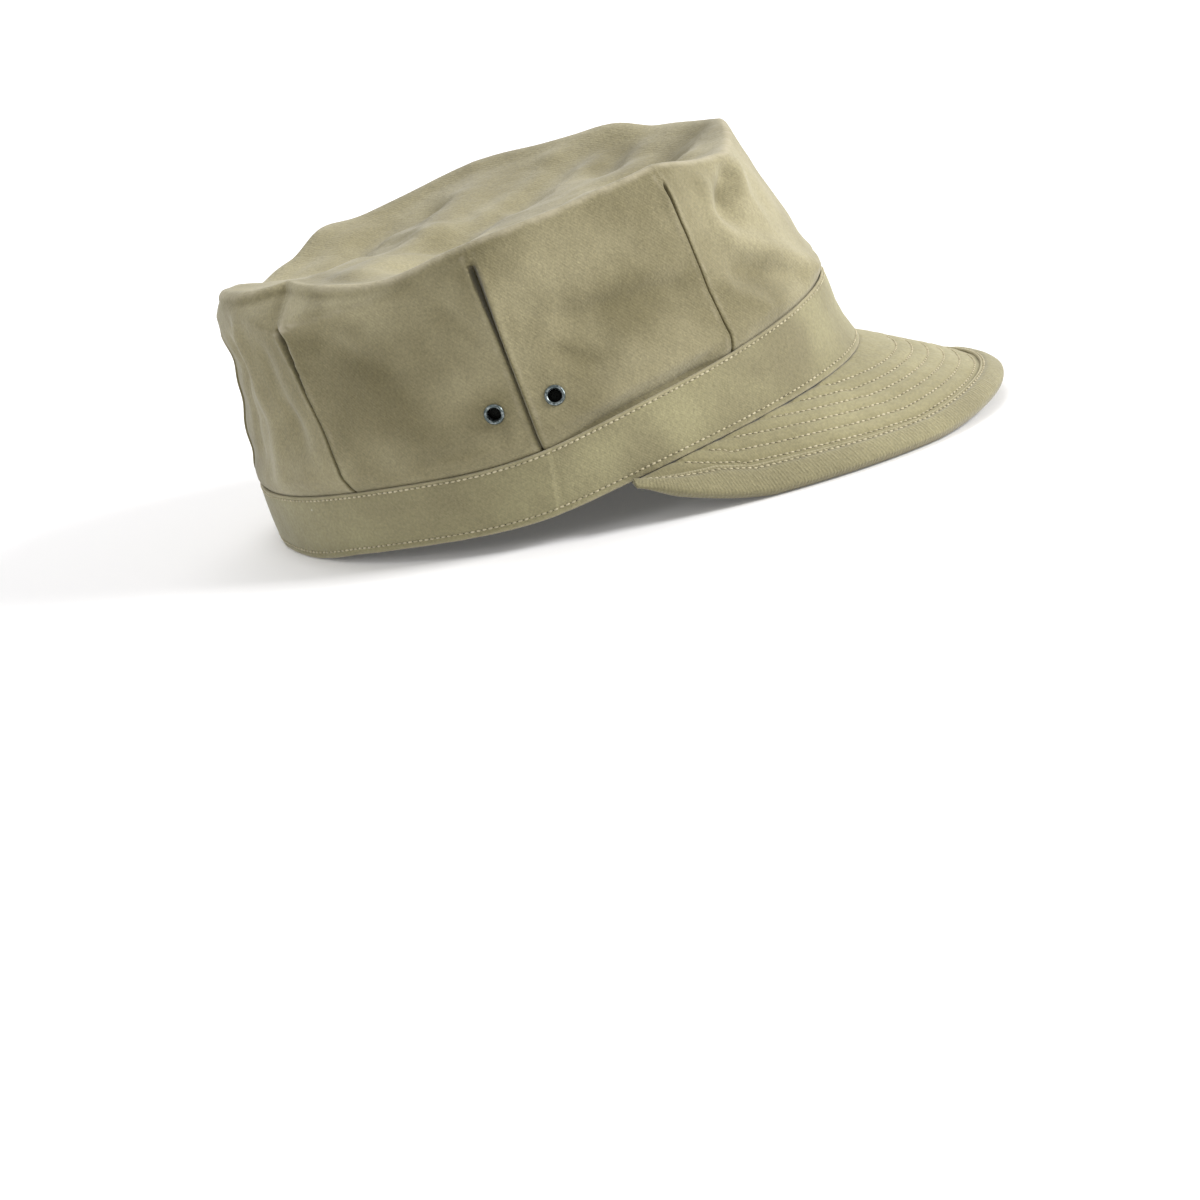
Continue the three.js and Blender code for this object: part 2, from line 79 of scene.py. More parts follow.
def square_to(way: np.ndarray, away: np.ndarray) -> np.ndarray:
    """The unit vectors square to way, in the plane of away and up, that point upwards."""
    normal = away * (-way[..., 2:3])
    normal[..., 2] += (way * away).sum(-1)
    return unit(normal)


def out_of(way: np.ndarray, away: np.ndarray) -> np.ndarray:
    """The unit vectors square to an upward way, in the plane of away and up, that point outwards."""
    return -square_to(way, away)


def drift(points: np.ndarray, scale: float, seed: float) -> np.ndarray:
    """Smooth noise from about -1 to 1 at each point.

    Args:
        points: Places in millimetres, one to a row.
        scale: Millimetres from one swell to the next.
        seed: Shifts the pattern.

    Returns:
        One value for each point.
    """
    shift = Vector((seed, seed * 1.7, -seed))
    return np.array([noise.noise(Vector(p) / scale + shift) for p in points])


@dataclass(frozen=True)
class Oval:
    """A flat egg-shaped ring seen from above."""

    front: float
    back: float
    half: float
    front_taper: float
    back_taper: float

    def at(self, station: np.ndarray) -> np.ndarray:
        """The ring's points at the stations."""
        forward = np.cos(np.radians(station))
        side = np.sin(np.radians(station))
        reach = np.where(forward > 0, self.front, self.back)
        taper = np.where(forward > 0, self.front_taper, self.back_taper)
        return np.stack([-self.half * side * (1 - taper * forward), -reach * forward, 0 * side], -1)


@dataclass(frozen=True)
class Dart:
    """A pleat sewn into the crown's wall, open at its head and closed at the band.

    band and rim are its stations at its foot and head, mouth its half width and depth its depth at the head in
    millimetres, and top the share of the wall's height that it reaches. lap is how far the lip towards the back
    lies over the other one, in millimetres, and is below 0 where the front lip lies on top.
    """

    band: float
    rim: float
    mouth: float
    depth: float
    top: float
    lap: float


@dataclass(frozen=True)
class Fold:
    """A soft ridge, or a dent where height is below 0, along a straight line on the cloth."""

    start: tuple[float, float]
    end: tuple[float, float]
    spread: float
    height: float

    def relief(self, across: np.ndarray, up: np.ndarray) -> np.ndarray:
        """How far the fold lifts the cloth at each place, in millimetres."""
        a = np.array(self.start, float)
        b = np.array(self.end, float)
        line = b - a
        share = ((across - a[0]) * line[0] + (up - a[1]) * line[1]) / max(float(line @ line), 1e-9)
        share = np.clip(share, 0, 1)
        away = np.hypot(across - a[0] - share * line[0], up - a[1] - share * line[1])
        return self.height * bell(away, 0, self.spread)


@dataclass(frozen=True)
class Roll:
    """A place by a dart's head where the wall's top leans in over a soft ridge.

    drop is how far below the wall's top the ridge lies there in millimetres, front and back how many degrees it
    takes to fade on either side, and lean how far the cloth moves in for each millimetre above the ridge.
    """

    station: float
    drop: float
    front: float
    back: float
    lean: float

    def drop_at(self, station: np.ndarray) -> np.ndarray:
        """How far below the wall's top the ridge lies at each station."""
        away = turn(self.station, station)
        reach = np.where(away * math.copysign(1, self.station) > 0, self.back, self.front)
        return self.drop * np.exp((1.5 - np.sqrt(away * away + 2.25)) / reach)


@dataclass(frozen=True)
class CapForm:
    """The sizes and surfaces that the cap's pieces share."""

    foot: Oval = Oval(106.8, 105.5, 84, 0.12, 0.03)
    head: Oval = Oval(102.2, 105.8, 84.5, 0.12, 0.03)
    rim: Oval = Oval(90, 97.5, 72, 0.02, 0)
    tilt: float = 7.85
    heel: tuple[float, float] = (105.5, 1.0)
    settle_by: tuple[float, float] = (20.6729, 13.4186)
    band_side: float = 22
    band_front_rise: float = 5.5
    band_front_spread: float = 52
    ear: tuple[float, float, float] = (98, 20, 3.2)
    heel_flat: tuple[float, float] = (135, 157)
    gap: float = 0.3
    arc: float = 1.81
    wall_height: float = 69
    rim_back: float = 91
    rim_drop: float = 11
    rim_drop_span: tuple[float, float] = (18, 62)
    rim_flatness: float = 0.6
    rim_fold: float = 3.2
    corner: float = 20
    middle: tuple[float, float, float] = (0, 3, 81)
    swells: tuple[tuple[float, float, float, float], ...] = (
        (-18, 12, 4, 2.5), (-62, 24, -1.2, 0), (-146, 34, -7, 0), (178, 22, -1.5, 1), (-45, 7, -3.2, 0),
        (43, 9, 3.2, 0), (22, 8, 2.0, 0), (-58, 6, 0.8, 0), (70, 8, -0.7, 0), (113, 13, -10.0, 0),
        (129, 12, -3.6, -4), (-157, 7, -9, 0),
        (-148, 8, -2.4, 0), (-131, 7, 9.0, 0), (-104, 12, -2.2, 0), (-54, 9, 2.6, 0),
        (176, 8, 1.0, 0.5), (170, 12, 2.6, 0.8), (-100, 9, 1.0, 0), (-76, 7, -0.9, 0),
    )
    rolls: tuple[Roll, ...] = (
        Roll(131.5, 10.5, 7.5, 14, 1.5),
        Roll(92.5, 4.5, 5, 6, 0.55),
        Roll(49.5, 4, 4, 4, 0.45),
        Roll(180, 6, 9, 9, 0.5),
        Roll(-50, 4, 4, 4, 0.45),
        Roll(-92, 6, 6, 5, 0.55),
        Roll(-131, 8, 9, 10, 0.7),
    )
    darts: tuple[Dart, ...] = (
        Dart(50, 46.5, 0.8, 2.2, 0.93, 0.7),
        Dart(92, 93.5, 1.6, 6.0, 0.935, -0.7),
        Dart(131, 144, 2.0, 6.0, 0.86, -0.4),
        Dart(180, 180, 1.3, 4.5, 0.88, 0.7),
        Dart(-131, -141, 1.3, 4.8, 0.86, 0.7),
        Dart(-92, -92, 1.4, 5.0, 0.9, 0.8),
        Dart(-50, -46.5, 0.8, 2.2, 0.95, -0.6),
    )

    def settle(self, points: np.ndarray) -> np.ndarray:
        """Points of the cap's own frame, laid on the surface it stands on, in metres."""
        c = math.cos(math.radians(self.tilt))
        s = math.sin(math.radians(self.tilt))
        x, y, z = points[..., 0], points[..., 1], points[..., 2]
        return MM * np.stack([x, c * y + s * z + self.settle_by[0], -s * y + c * z + self.settle_by[1]], -1)

    def rest_height(self, y: np.ndarray) -> np.ndarray:
        """The height of the surface that the cap stands on, at y."""
        return self.heel[1] + math.tan(math.radians(self.tilt)) * (y - self.heel[0])

    def outward(self, station: np.ndarray) -> np.ndarray:
        """The level unit vectors that point away from the head."""
        along = self.foot.at(station + 0.5) - self.foot.at(station - 0.5)
        return unit(np.stack([-along[..., 1], along[..., 0], 0 * along[..., 0]], -1))

    def ear_dip(self, station: np.ndarray) -> np.ndarray:
        """How far the band sits lower over the ears."""
        centre, spread, depth = self.ear
        return -depth * bell(np.abs(turn(0, station)), centre, spread)

    def band_foot(self, station: np.ndarray) -> np.ndarray:
        """The band's lower edge."""
        p = self.foot.at(station)
        share = ramp(np.abs(turn(0, station)), *self.heel_flat)
        p[..., 2] = self.ear_dip(station) * (1 - share) + self.rest_height(p[..., 1]) * share
        return p

    def band_head(self, station: np.ndarray) -> np.ndarray:
        """The band's upper edge."""
        p = self.head.at(station)
        rise = self.band_front_rise * bell(np.abs(turn(0, station)), 0, self.band_front_spread)
        p[..., 2] = self.ear_dip(station) + self.band_side + rise
        return p

    def even_rim(self, station: np.ndarray) -> np.ndarray:
        """The crown's upper corner before the cloth pulls flat between the darts."""
        p = self.rim.at(station)
        p[..., 2] = self.rim_back - self.rim_drop * (1 - ramp(np.abs(turn(0, station)), *self.rim_drop_span))
        for at, spread, lift, reach in self.swells:
            share = bell(turn(at, station), 0, spread)
            p = p + self.outward(station) * (reach * share)[..., None]
            p[..., 2] += lift * share
        return p

    def marks(self) -> np.ndarray:
        """Pairs of band and rim stations where the rim has a corner, in order."""
        pairs = [(-180.0, -180.0), (-self.corner, -self.corner), (self.corner, self.corner)]
        pairs += [(d.band, d.rim) for d in self.darts]
        return np.array(sorted(pairs), float)

    def rim_line(self, station: np.ndarray) -> np.ndarray:
        """The crown's upper corner over each of the band's stations."""
        marks = self.marks()
        at = np.where(turn(0, station) == -180, 180, turn(0, station))
        i = np.clip(np.searchsorted(marks[:, 0], at), 1, len(marks) - 1)
        low, high = marks[i - 1], marks[i]
        t = (at - low[:, 0]) / (high[:, 0] - low[:, 0])
        curved = self.even_rim(low[:, 1] + t * (high[:, 1] - low[:, 1]))
        flat = self.even_rim(low[:, 1]) * (1 - t)[:, None] + self.even_rim(high[:, 1]) * t[:, None]
        return curved * (1 - self.rim_flatness) + flat * self.rim_flatness

    def lean_in(self, station: np.ndarray, below: float | np.ndarray) -> np.ndarray:
        """How far the cloth leans in at a distance below the wall's top, in millimetres."""
        total = np.zeros_like(station)
        for roll in self.rolls:
            above = roll.drop_at(station) - below
            total += roll.lean * np.where(above > 0, np.sqrt(above * above + 1.44) - 1.2, 0)
        return np.maximum(total, 0)


class NodeBench:
    """Adds and wires shader nodes in one tree."""

    def __init__(self, tree: bpy.types.NodeTree) -> None:
        """Keeps the tree that the nodes go into."""
        self.tree = tree

    def add(self, kind: str, links: dict | None = None, **settings: object) -> bpy.types.Node:
        """Adds a node.

        Args:
            kind: The node's Blender type.
            links: Socket name or number to a value, or to the output that feeds it.
            settings: Properties of the node.

        Returns:
            The new node.
        """
        node = self.tree.nodes.new(kind)
        for key, value in settings.items():
            setattr(node, key, value)
        for key, value in (links or {}).items():
            if isinstance(value, bpy.types.NodeSocket):
                self.tree.links.new(value, node.inputs[key])
            else:
                node.inputs[key].default_value = value
        return node

    def math(self, operation: str, a: object, b: object = 0.0, c: object = 0.0) -> bpy.types.NodeSocket:
        """The result of a Math node."""
        return self.add("ShaderNodeMath", {0: a, 1: b, 2: c}, operation=operation).outputs[0]

    def mix(self, factor: object, a: object, b: object, blend: str = "MIX") -> bpy.types.NodeSocket:
        """The result of a colour Mix node."""
        links = {0: factor, 6: a, 7: b}
        return self.add("ShaderNodeMix", links, data_type="RGBA", blend_type=blend).outputs[2]

    def spread(self, value: object, low: float, high: float, to: float = 1.0) -> bpy.types.NodeSocket:
        """The value, smoothly stretched from low..high to 0..to."""
        links = {"Value": value, "From Min": low, "From Max": high, "To Max": to}
        node = self.add("ShaderNodeMapRange", links, interpolation_type="SMOOTHSTEP")
        return node.outputs[0]


def shader_group(name: str, inputs: dict, outputs: dict) -> tuple[NodeBench, bpy.types.Node, bpy.types.Node]:
    """Starts a shader node group.

    Args:
        name: The group's name.
        inputs: Input name to its socket type and default value.
        outputs: Output name to its socket type.

    Returns:
        A bench on the group's tree, and its input and output nodes.
    """
    tree = bpy.data.node_groups.new(name, "ShaderNodeTree")
    for key, (kind, value) in inputs.items():
        socket = tree.interface.new_socket(key, in_out="INPUT", socket_type=kind)
        if value is not None:
            socket.default_value = value
    for key, kind in outputs.items():
        tree.interface.new_socket(key, in_out="OUTPUT", socket_type=kind)
    bench = NodeBench(tree)
    return bench, bench.add("NodeGroupInput"), bench.add("NodeGroupOutput")


FLOAT, COLOUR, VECTOR = "NodeSocketFloat", "NodeSocketColor", "NodeSocketVector"


def twill_weave() -> bpy.types.NodeTree:
    """The weave group: raised slanting lines of thread from a flat cloth coordinate in metres."""
    inputs = {
        "Cloth": (VECTOR, None), "Pitch": (FLOAT, 0.9), "Slant": (FLOAT, 0.6), "Thread": (FLOAT, 0.45),
        "Wander": (FLOAT, 0.7),
    }
    bench, start, end = shader_group("twill_weave", inputs, {"Height": FLOAT, "Streak": FLOAT})
    bent = bench.add("ShaderNodeTexNoise", {"Vector": start.outputs["Cloth"], "Scale": 260.0, "Detail": 3.0})
    shove = bench.add("ShaderNodeVectorMath", {0: bent.outputs["Color"], 1: (0.5, 0.5, 0.5)}, operation="SUBTRACT")
    reach = bench.math("MULTIPLY", start.outputs["Wander"], 0.001)
    shoved = bench.add("ShaderNodeVectorMath", {0: shove.outputs[0], "Scale": reach}, operation="SCALE")
    place = bench.add("ShaderNodeVectorMath", {0: start.outputs["Cloth"], 1: shoved.outputs[0]}, operation="ADD")
    links = {"Vector": place.outputs[0], "Angle": start.outputs["Slant"]}
    turned = bench.add("ShaderNodeVectorRotate", links, rotation_type="Z_AXIS")
    parts = bench.add("ShaderNodeSeparateXYZ", {0: turned.outputs[0]})
    lines = bench.math("DIVIDE", bench.math("MULTIPLY", parts.outputs[0], 1000 * math.tau), start.outputs["Pitch"])
    ridge = bench.math("MULTIPLY_ADD", bench.math("SINE", lines), 0.5, 0.5)
    plies = bench.math("DIVIDE", bench.math("MULTIPLY", parts.outputs[1], 1000 * math.tau), start.outputs["Thread"])
    phase = bench.math("MULTIPLY_ADD", lines, 0.5, plies)
    bead = bench.math("MULTIPLY_ADD", bench.math("SINE", phase), 0.16, 0.84)
    worn = bench.add("ShaderNodeTexNoise", {"Vector": start.outputs["Cloth"], "Scale": 700.0, "Detail": 2.0})
    height = bench.math("MULTIPLY", bench.math("MULTIPLY", ridge, bead), bench.spread(worn.outputs["Fac"], 0.3, 0.7))
    stretched = bench.add("ShaderNodeVectorMath", {0: turned.outputs[0], 1: (1500.0, 60.0, 1.0)}, operation="MULTIPLY")
    streak = bench.add("ShaderNodeTexNoise", {"Vector": stretched.outputs[0], "Scale": 1.0, "Detail": 2.0})
    bench.tree.links.new(height, end.inputs["Height"])
    bench.tree.links.new(streak.outputs["Fac"], end.inputs["Streak"])
    return bench.tree


def cloth_tone() -> bpy.types.NodeTree:
    """The tone group: soft random patches of colour, stains and painted light and shade from the cloth's attribute,
    painted shade in the twill's valleys, faded folds and dusty specks, by place on the cap.
    """
    inputs = {
        "Place": (VECTOR, None), "Lit": (COLOUR, None), "Deep": (COLOUR, None), "Faded": (COLOUR, None),
        "Wear": (FLOAT, 0.0), "Stains and painted light": (FLOAT, 0.0), "Streak": (FLOAT, 0.5), "Ridge": (FLOAT, 0.5),
    }
    outputs = {"Color": COLOUR, "Roughness": FLOAT, "Nap": FLOAT}
    bench, start, end = shader_group("cloth_tone", inputs, outputs)
    place = start.outputs["Place"]
    patch = bench.add("ShaderNodeTexNoise", {"Vector": place, "Scale": 21.0, "Detail": 3.0, "Roughness": 0.55})
    calm = bench.math("MULTIPLY_ADD", patch.outputs["Fac"], 0.7, 0.15)
    tone_with_painted_light = bench.math("MULTIPLY_ADD", start.outputs["Stains and painted light"], 0.2, calm)
    broad = bench.spread(tone_with_painted_light, 0.30, 0.70)
    # The random patches, shifted by the stains and painted light and shade, run from the deep colour to the lit one.
    tone = bench.mix(broad, start.outputs["Deep"], start.outputs["Lit"])
    fuzz = bench.add("ShaderNodeTexNoise", {"Vector": place, "Scale": 1100.0, "Detail": 3.0, "Roughness": 0.7})
    flecks = bench.math("MULTIPLY_ADD", fuzz.outputs["Fac"], 0.84, 0.58)
    grain = bench.math("MULTIPLY_ADD", start.outputs["Streak"], 0.14, 0.93)
    # ribs darkens the valleys between the twill's lines, a painted shade; grain and flecks are the thread's own colour.
    ribs = bench.math("MULTIPLY_ADD", start.outputs["Ridge"], 0.12, 0.94)
    shade = bench.math("MULTIPLY", bench.math("MULTIPLY", grain, ribs), flecks)
    grey = bench.add("ShaderNodeCombineColor", {0: shade, 1: shade, 2: shade})
    tone = bench.mix(1.0, tone, grey.outputs[0], "MULTIPLY")
    cloud = bench.add("ShaderNodeTexNoise", {"Vector": place, "Scale": 160.0, "Detail": 4.0, "Roughness": 0.65})
    ragged = bench.math("MULTIPLY_ADD", cloud.outputs["Fac"], 0.9, -0.45)
    worn = bench.spread(bench.math("ADD", start.outputs["Wear"], ragged), 0.15, 1.0, 0.75)
    tone = bench.mix(worn, tone, start.outputs["Faded"])
    lint = bench.add("ShaderNodeTexVoronoi", {"Vector": place, "Scale": 95.0, "Randomness": 1.0})
    pick = bench.add("ShaderNodeTexNoise", {"Vector": place, "Scale": 37.0, "Detail": 0.0})
    near = bench.math("LESS_THAN", lint.outputs["Distance"], 0.035)
    some = bench.math("GREATER_THAN", pick.outputs["Fac"], 0.66)
    speck = bench.math("MULTIPLY", bench.math("MULTIPLY", near, some), 0.55)
    tone = bench.mix(speck, tone, (0.62, 0.6, 0.52, 1.0))
    bench.tree.links.new(tone, end.inputs["Color"])
    bench.tree.links.new(bench.math("MULTIPLY_ADD", cloud.outputs["Fac"], 0.14, 0.76), end.inputs["Roughness"])
    fine = bench.add("ShaderNodeTexNoise", {"Vector": place, "Scale": 420.0, "Detail": 3.0, "Roughness": 0.6})
    nap = bench.math("MULTIPLY_ADD", fine.outputs["Fac"], 0.3, cloud.outputs["Fac"])
    bench.tree.links.new(nap, end.inputs["Nap"])
    return bench.tree


class Weave(Enum):
    """How high the slanting lines stand, in millimetres."""

    PLAIN = 0.035
    TWILL = 0.05
    STEEP = 0.16


@dataclass(frozen=True)
class TwillFinish:
    """A cotton twill: its colours, and the pitch and slant of its lines."""

    name: str
    # lit and deep are the ends of the cloth's tone: its random patches, its stains and its painted light and shade move
    # between them.
    lit: tuple[float, float, float]
    deep: tuple[float, float, float]
    faded: tuple[float, float, float]
    pitch: float
    slant: float
    weave: Weave
    crumple: float = 0.5
    sheen: float = 0.25

    def make(self, groups: dict[str, bpy.types.NodeTree]) -> bpy.types.Material:
        """Builds the material.

        Args:
            groups: The shared shader groups by name.

        Returns:
            The finished material.
        """
        material = bpy.data.materials.new(self.name)
        material.use_nodes = True
        bench = NodeBench(material.node_tree)
        shader = material.node_tree.nodes["Principled BSDF"]
        where = bench.add("ShaderNodeTexCoord")
        cloth = bench.add("ShaderNodeUVMap", uv_map="cloth")
        worn = bench.add("ShaderNodeAttribute", attribute_name="wear")
        # The cloth's stains and painted light and shade, read from its attribute.
        tone_with_painted_light = bench.add("ShaderNodeAttribute", attribute_name="stain_and_painted_light")
        weave = bench.add("ShaderNodeGroup", node_tree=groups["twill_weave"])
        bench.tree.links.new(cloth.outputs[0], weave.inputs["Cloth"])
        weave.inputs["Pitch"].default_value = self.pitch
        weave.inputs["Slant"].default_value = math.radians(self.slant)
        tone = bench.add("ShaderNodeGroup", node_tree=groups["cloth_tone"])
        bench.tree.links.new(where.outputs["Object"], tone.inputs["Place"])
        bench.tree.links.new(worn.outputs["Fac"], tone.inputs["Wear"])
        bench.tree.links.new(tone_with_painted_light.outputs["Fac"], tone.inputs["Stains and painted light"])
        bench.tree.links.new(weave.outputs["Streak"], tone.inputs["Streak"])
        bench.tree.links.new(weave.outputs["Height"], tone.inputs["Ridge"])
        for key, colour in (("Lit", self.lit), ("Deep", self.deep), ("Faded", self.faded)):
            tone.inputs[key].default_value = (*colour, 1.0)
        lines = bench.math("MULTIPLY", weave.outputs["Height"], self.weave.value)
        height = bench.math("MULTIPLY_ADD", tone.outputs["Nap"], self.crumple, lines)
        bump = bench.add("ShaderNodeBump", {"Height": height, "Strength": 1.0, "Distance": MM})
        bench.tree.links.new(tone.outputs["Color"], shader.inputs["Base Color"])
        bench.tree.links.new(tone.outputs["Roughness"], shader.inputs["Roughness"])
        bench.tree.links.new(bump.outputs[0], shader.inputs["Normal"])
        shader.inputs["Sheen Weight"].default_value = self.sheen
        shader.inputs["Sheen Roughness"].default_value = 0.6
        shader.inputs["Specular IOR Level"].default_value = 0.25
        return material


@dataclass(frozen=True)
class ThreadFinish:
    """The sewing thread, paler than the cloth."""

    name: str = "cap_sewing_thread"
    colour: tuple[float, float, float] = (0.56, 0.50, 0.33)
    dull: tuple[float, float, float] = (0.38, 0.335, 0.20)

    def make(self) -> bpy.types.Material:
        """Builds the material."""
        material = bpy.data.materials.new(self.name)
        material.use_nodes = True
        bench = NodeBench(material.node_tree)
        shader = material.node_tree.nodes["Principled BSDF"]
        where = bench.add("ShaderNodeTexCoord")
        links = {"Vector": where.outputs["Object"], "Scale": 260.0, "Detail": 3.0}
        fuzz = bench.add("ShaderNodeTexNoise", links)
        share = bench.spread(fuzz.outputs["Fac"], 0.35, 0.65)
        tone = bench.mix(share, (*self.dull, 1.0), (*self.colour, 1.0))
        ply = bench.add("ShaderNodeTexNoise", {"Vector": where.outputs["Object"], "Scale": 4200.0})
        bump = bench.add("ShaderNodeBump", {"Height": ply.outputs["Fac"], "Strength": 0.4, "Distance": 0.0001})
        bench.tree.links.new(tone, shader.inputs["Base Color"])
        bench.tree.links.new(bump.outputs[0], shader.inputs["Normal"])
        shader.inputs["Roughness"].default_value = 0.7
        shader.inputs["Sheen Weight"].default_value = 0.3
        return material


@dataclass(frozen=True)
class MetalFinish:
    """Dark zinc with bare, rubbed spots."""

    name: str = "eyelet_dark_zinc"
    dark: tuple[float, float, float] = (0.10, 0.125, 0.125)
    rubbed: tuple[float, float, float] = (0.33, 0.37, 0.37)

    def make(self) -> bpy.types.Material:
        """Builds the material."""
        material = bpy.data.materials.new(self.name)
        material.use_nodes = True
        bench = NodeBench(material.node_tree)
        shader = material.node_tree.nodes["Principled BSDF"]
        where = bench.add("ShaderNodeTexCoord")
        links = {"Vector": where.outputs["Object"], "Scale": 900.0, "Detail": 4.0}
        blotch = bench.add("ShaderNodeTexNoise", links)
        share = bench.spread(blotch.outputs["Fac"], 0.42, 0.68)
        tone = bench.mix(share, (*self.dark, 1.0), (*self.rubbed, 1.0))
        rough = bench.math("MULTIPLY_ADD", blotch.outputs["Fac"], 0.3, 0.25)
        bump = bench.add("ShaderNodeBump", {"Height": blotch.outputs["Fac"], "Strength": 0.2, "Distance": 0.0002})
        bench.tree.links.new(tone, shader.inputs["Base Color"])
        bench.tree.links.new(rough, shader.inputs["Roughness"])
        bench.tree.links.new(bump.outputs[0], shader.inputs["Normal"])
        shader.inputs["Metallic"].default_value = 0.85
        return material


@dataclass(frozen=True)
class GauzeFinish:
    """Near-black open gauze; its gaps are painted shade of the crown's dark inside."""

    name: str = "vent_dark_gauze"
    thread: tuple[float, float, float] = (0.022, 0.023, 0.02)
    # Near black gaps: painted shade in place of the crown's inside.
    gap: tuple[float, float, float] = (0.004, 0.004, 0.004)

    def make(self) -> bpy.types.Material:
        """Builds the material."""
        material = bpy.data.materials.new(self.name)
        material.use_nodes = True
        bench = NodeBench(material.node_tree)
        shader = material.node_tree.nodes["Principled BSDF"]
        where = bench.add("ShaderNodeTexCoord")
        mesh = bench.add("ShaderNodeTexVoronoi", {"Vector": where.outputs["Object"], "Scale": 2600.0})
        share = bench.spread(mesh.outputs["Distance"], 0.2, 0.6)
        tone = bench.mix(share, (*self.gap, 1.0), (*self.thread, 1.0))
        bump = bench.add("ShaderNodeBump", {"Height": share, "Strength": 0.5, "Distance": 0.0001})
        bench.tree.links.new(tone, shader.inputs["Base Color"])
        bench.tree.links.new(bump.outputs[0], shader.inputs["Normal"])
        shader.inputs["Roughness"].default_value = 0.9
        shader.inputs["Specular IOR Level"].default_value = 0.1
        return material


@dataclass
class ClothGrid:
    """A grid of cloth that is laid over a surface.

    place, flat, wear and tone hold one value for each row and column: its place in the cap's frame in
    millimetres, its place on the uncut cloth in millimetres, how worn it is, and how much lighter (above 0) or
    darker it is painted, for stains and for painted light and shade. second_flat is used in place of flat for faces
    whose rows all lie at or past switch_row.
    """

    place: np.ndarray
    flat: np.ndarray
    wear: np.ndarray
    tone: np.ndarray | None = None
    second_flat: np.ndarray | None = None
    switch_row: int = 0

    def mesh(self, form: CapForm, weld: bool = True) -> bmesh.types.BMesh:
        """Lays the grid.

        Args:
            form: The cap's form, which settles the points.
            weld: Joins the points that lie on each other.

        Returns:
            The grid as a bmesh, with its cloth UV map and its wear.
        """
        rows, columns = self.place.shape[:2]
        bm = bmesh.new()
        bmesh.ops.create_grid(bm, x_segments=columns - 1, y_segments=rows - 1, size=0.5)
        spot = np.array([v.co[:2] for v in bm.verts])
        column = np.rint((spot[:, 0] + 0.5) * (columns - 1)).astype(int)
        row = np.rint((spot[:, 1] + 0.5) * (rows - 1)).astype(int)
        settled = form.settle(self.place)[row, column]
        wear = self.wear[row, column]
        tone = (np.zeros_like(self.wear) if self.tone is None else self.tone)[row, column]
        flat = (self.flat * MM)[row, column]
        other = flat if self.second_flat is None else (self.second_flat * MM)[row, column]
        worn = bm.verts.layers.float.new("wear")
        # The second layer carries the stains and the painted light and shade.
        tone_with_painted_light = bm.verts.layers.float.new("stain_and_painted_light")
        for v, p, w, d in zip(bm.verts, settled, wear, tone):
            v.co = p
            v[worn] = w
            v[tone_with_painted_light] = d
        cloth = bm.loops.layers.uv.new("cloth")
        switched = self.second_flat is not None
        for face in bm.faces:
            ids = [v.index for v in face.verts]
            chosen = other if switched and min(row[i] for i in ids) >= self.switch_row else flat
            for loop, i in zip(face.loops, ids):
                loop[cloth].uv = chosen[i]
        if weld:
            bmesh.ops.remove_doubles(bm, verts=bm.verts, dist=WELD)
            bmesh.ops.dissolve_degenerate(bm, edges=bm.edges, dist=WELD)
            bmesh.ops.recalc_face_normals(bm, faces=bm.faces)
        return bm


def finished(name: str, bm: bmesh.types.BMesh, material: bpy.types.Material) -> bpy.types.Object:
    """Makes a smooth piece from a bmesh and gives it its material.

    Args:
        name: The piece's name.
        bm: The mesh, which is used up.
        material: Its finish.

    Returns:
        The piece, riding on the cap.
    """
    for face in bm.faces:
        face.smooth = True
    mesh = bpy.data.meshes.new(name)
    bm.to_mesh(mesh)
    bm.free()
    mesh.materials.append(material)
    piece = bpy.data.objects.new(name, mesh)
    bpy.context.scene.collection.objects.link(piece)
    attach(piece, ROOT)
    return piece


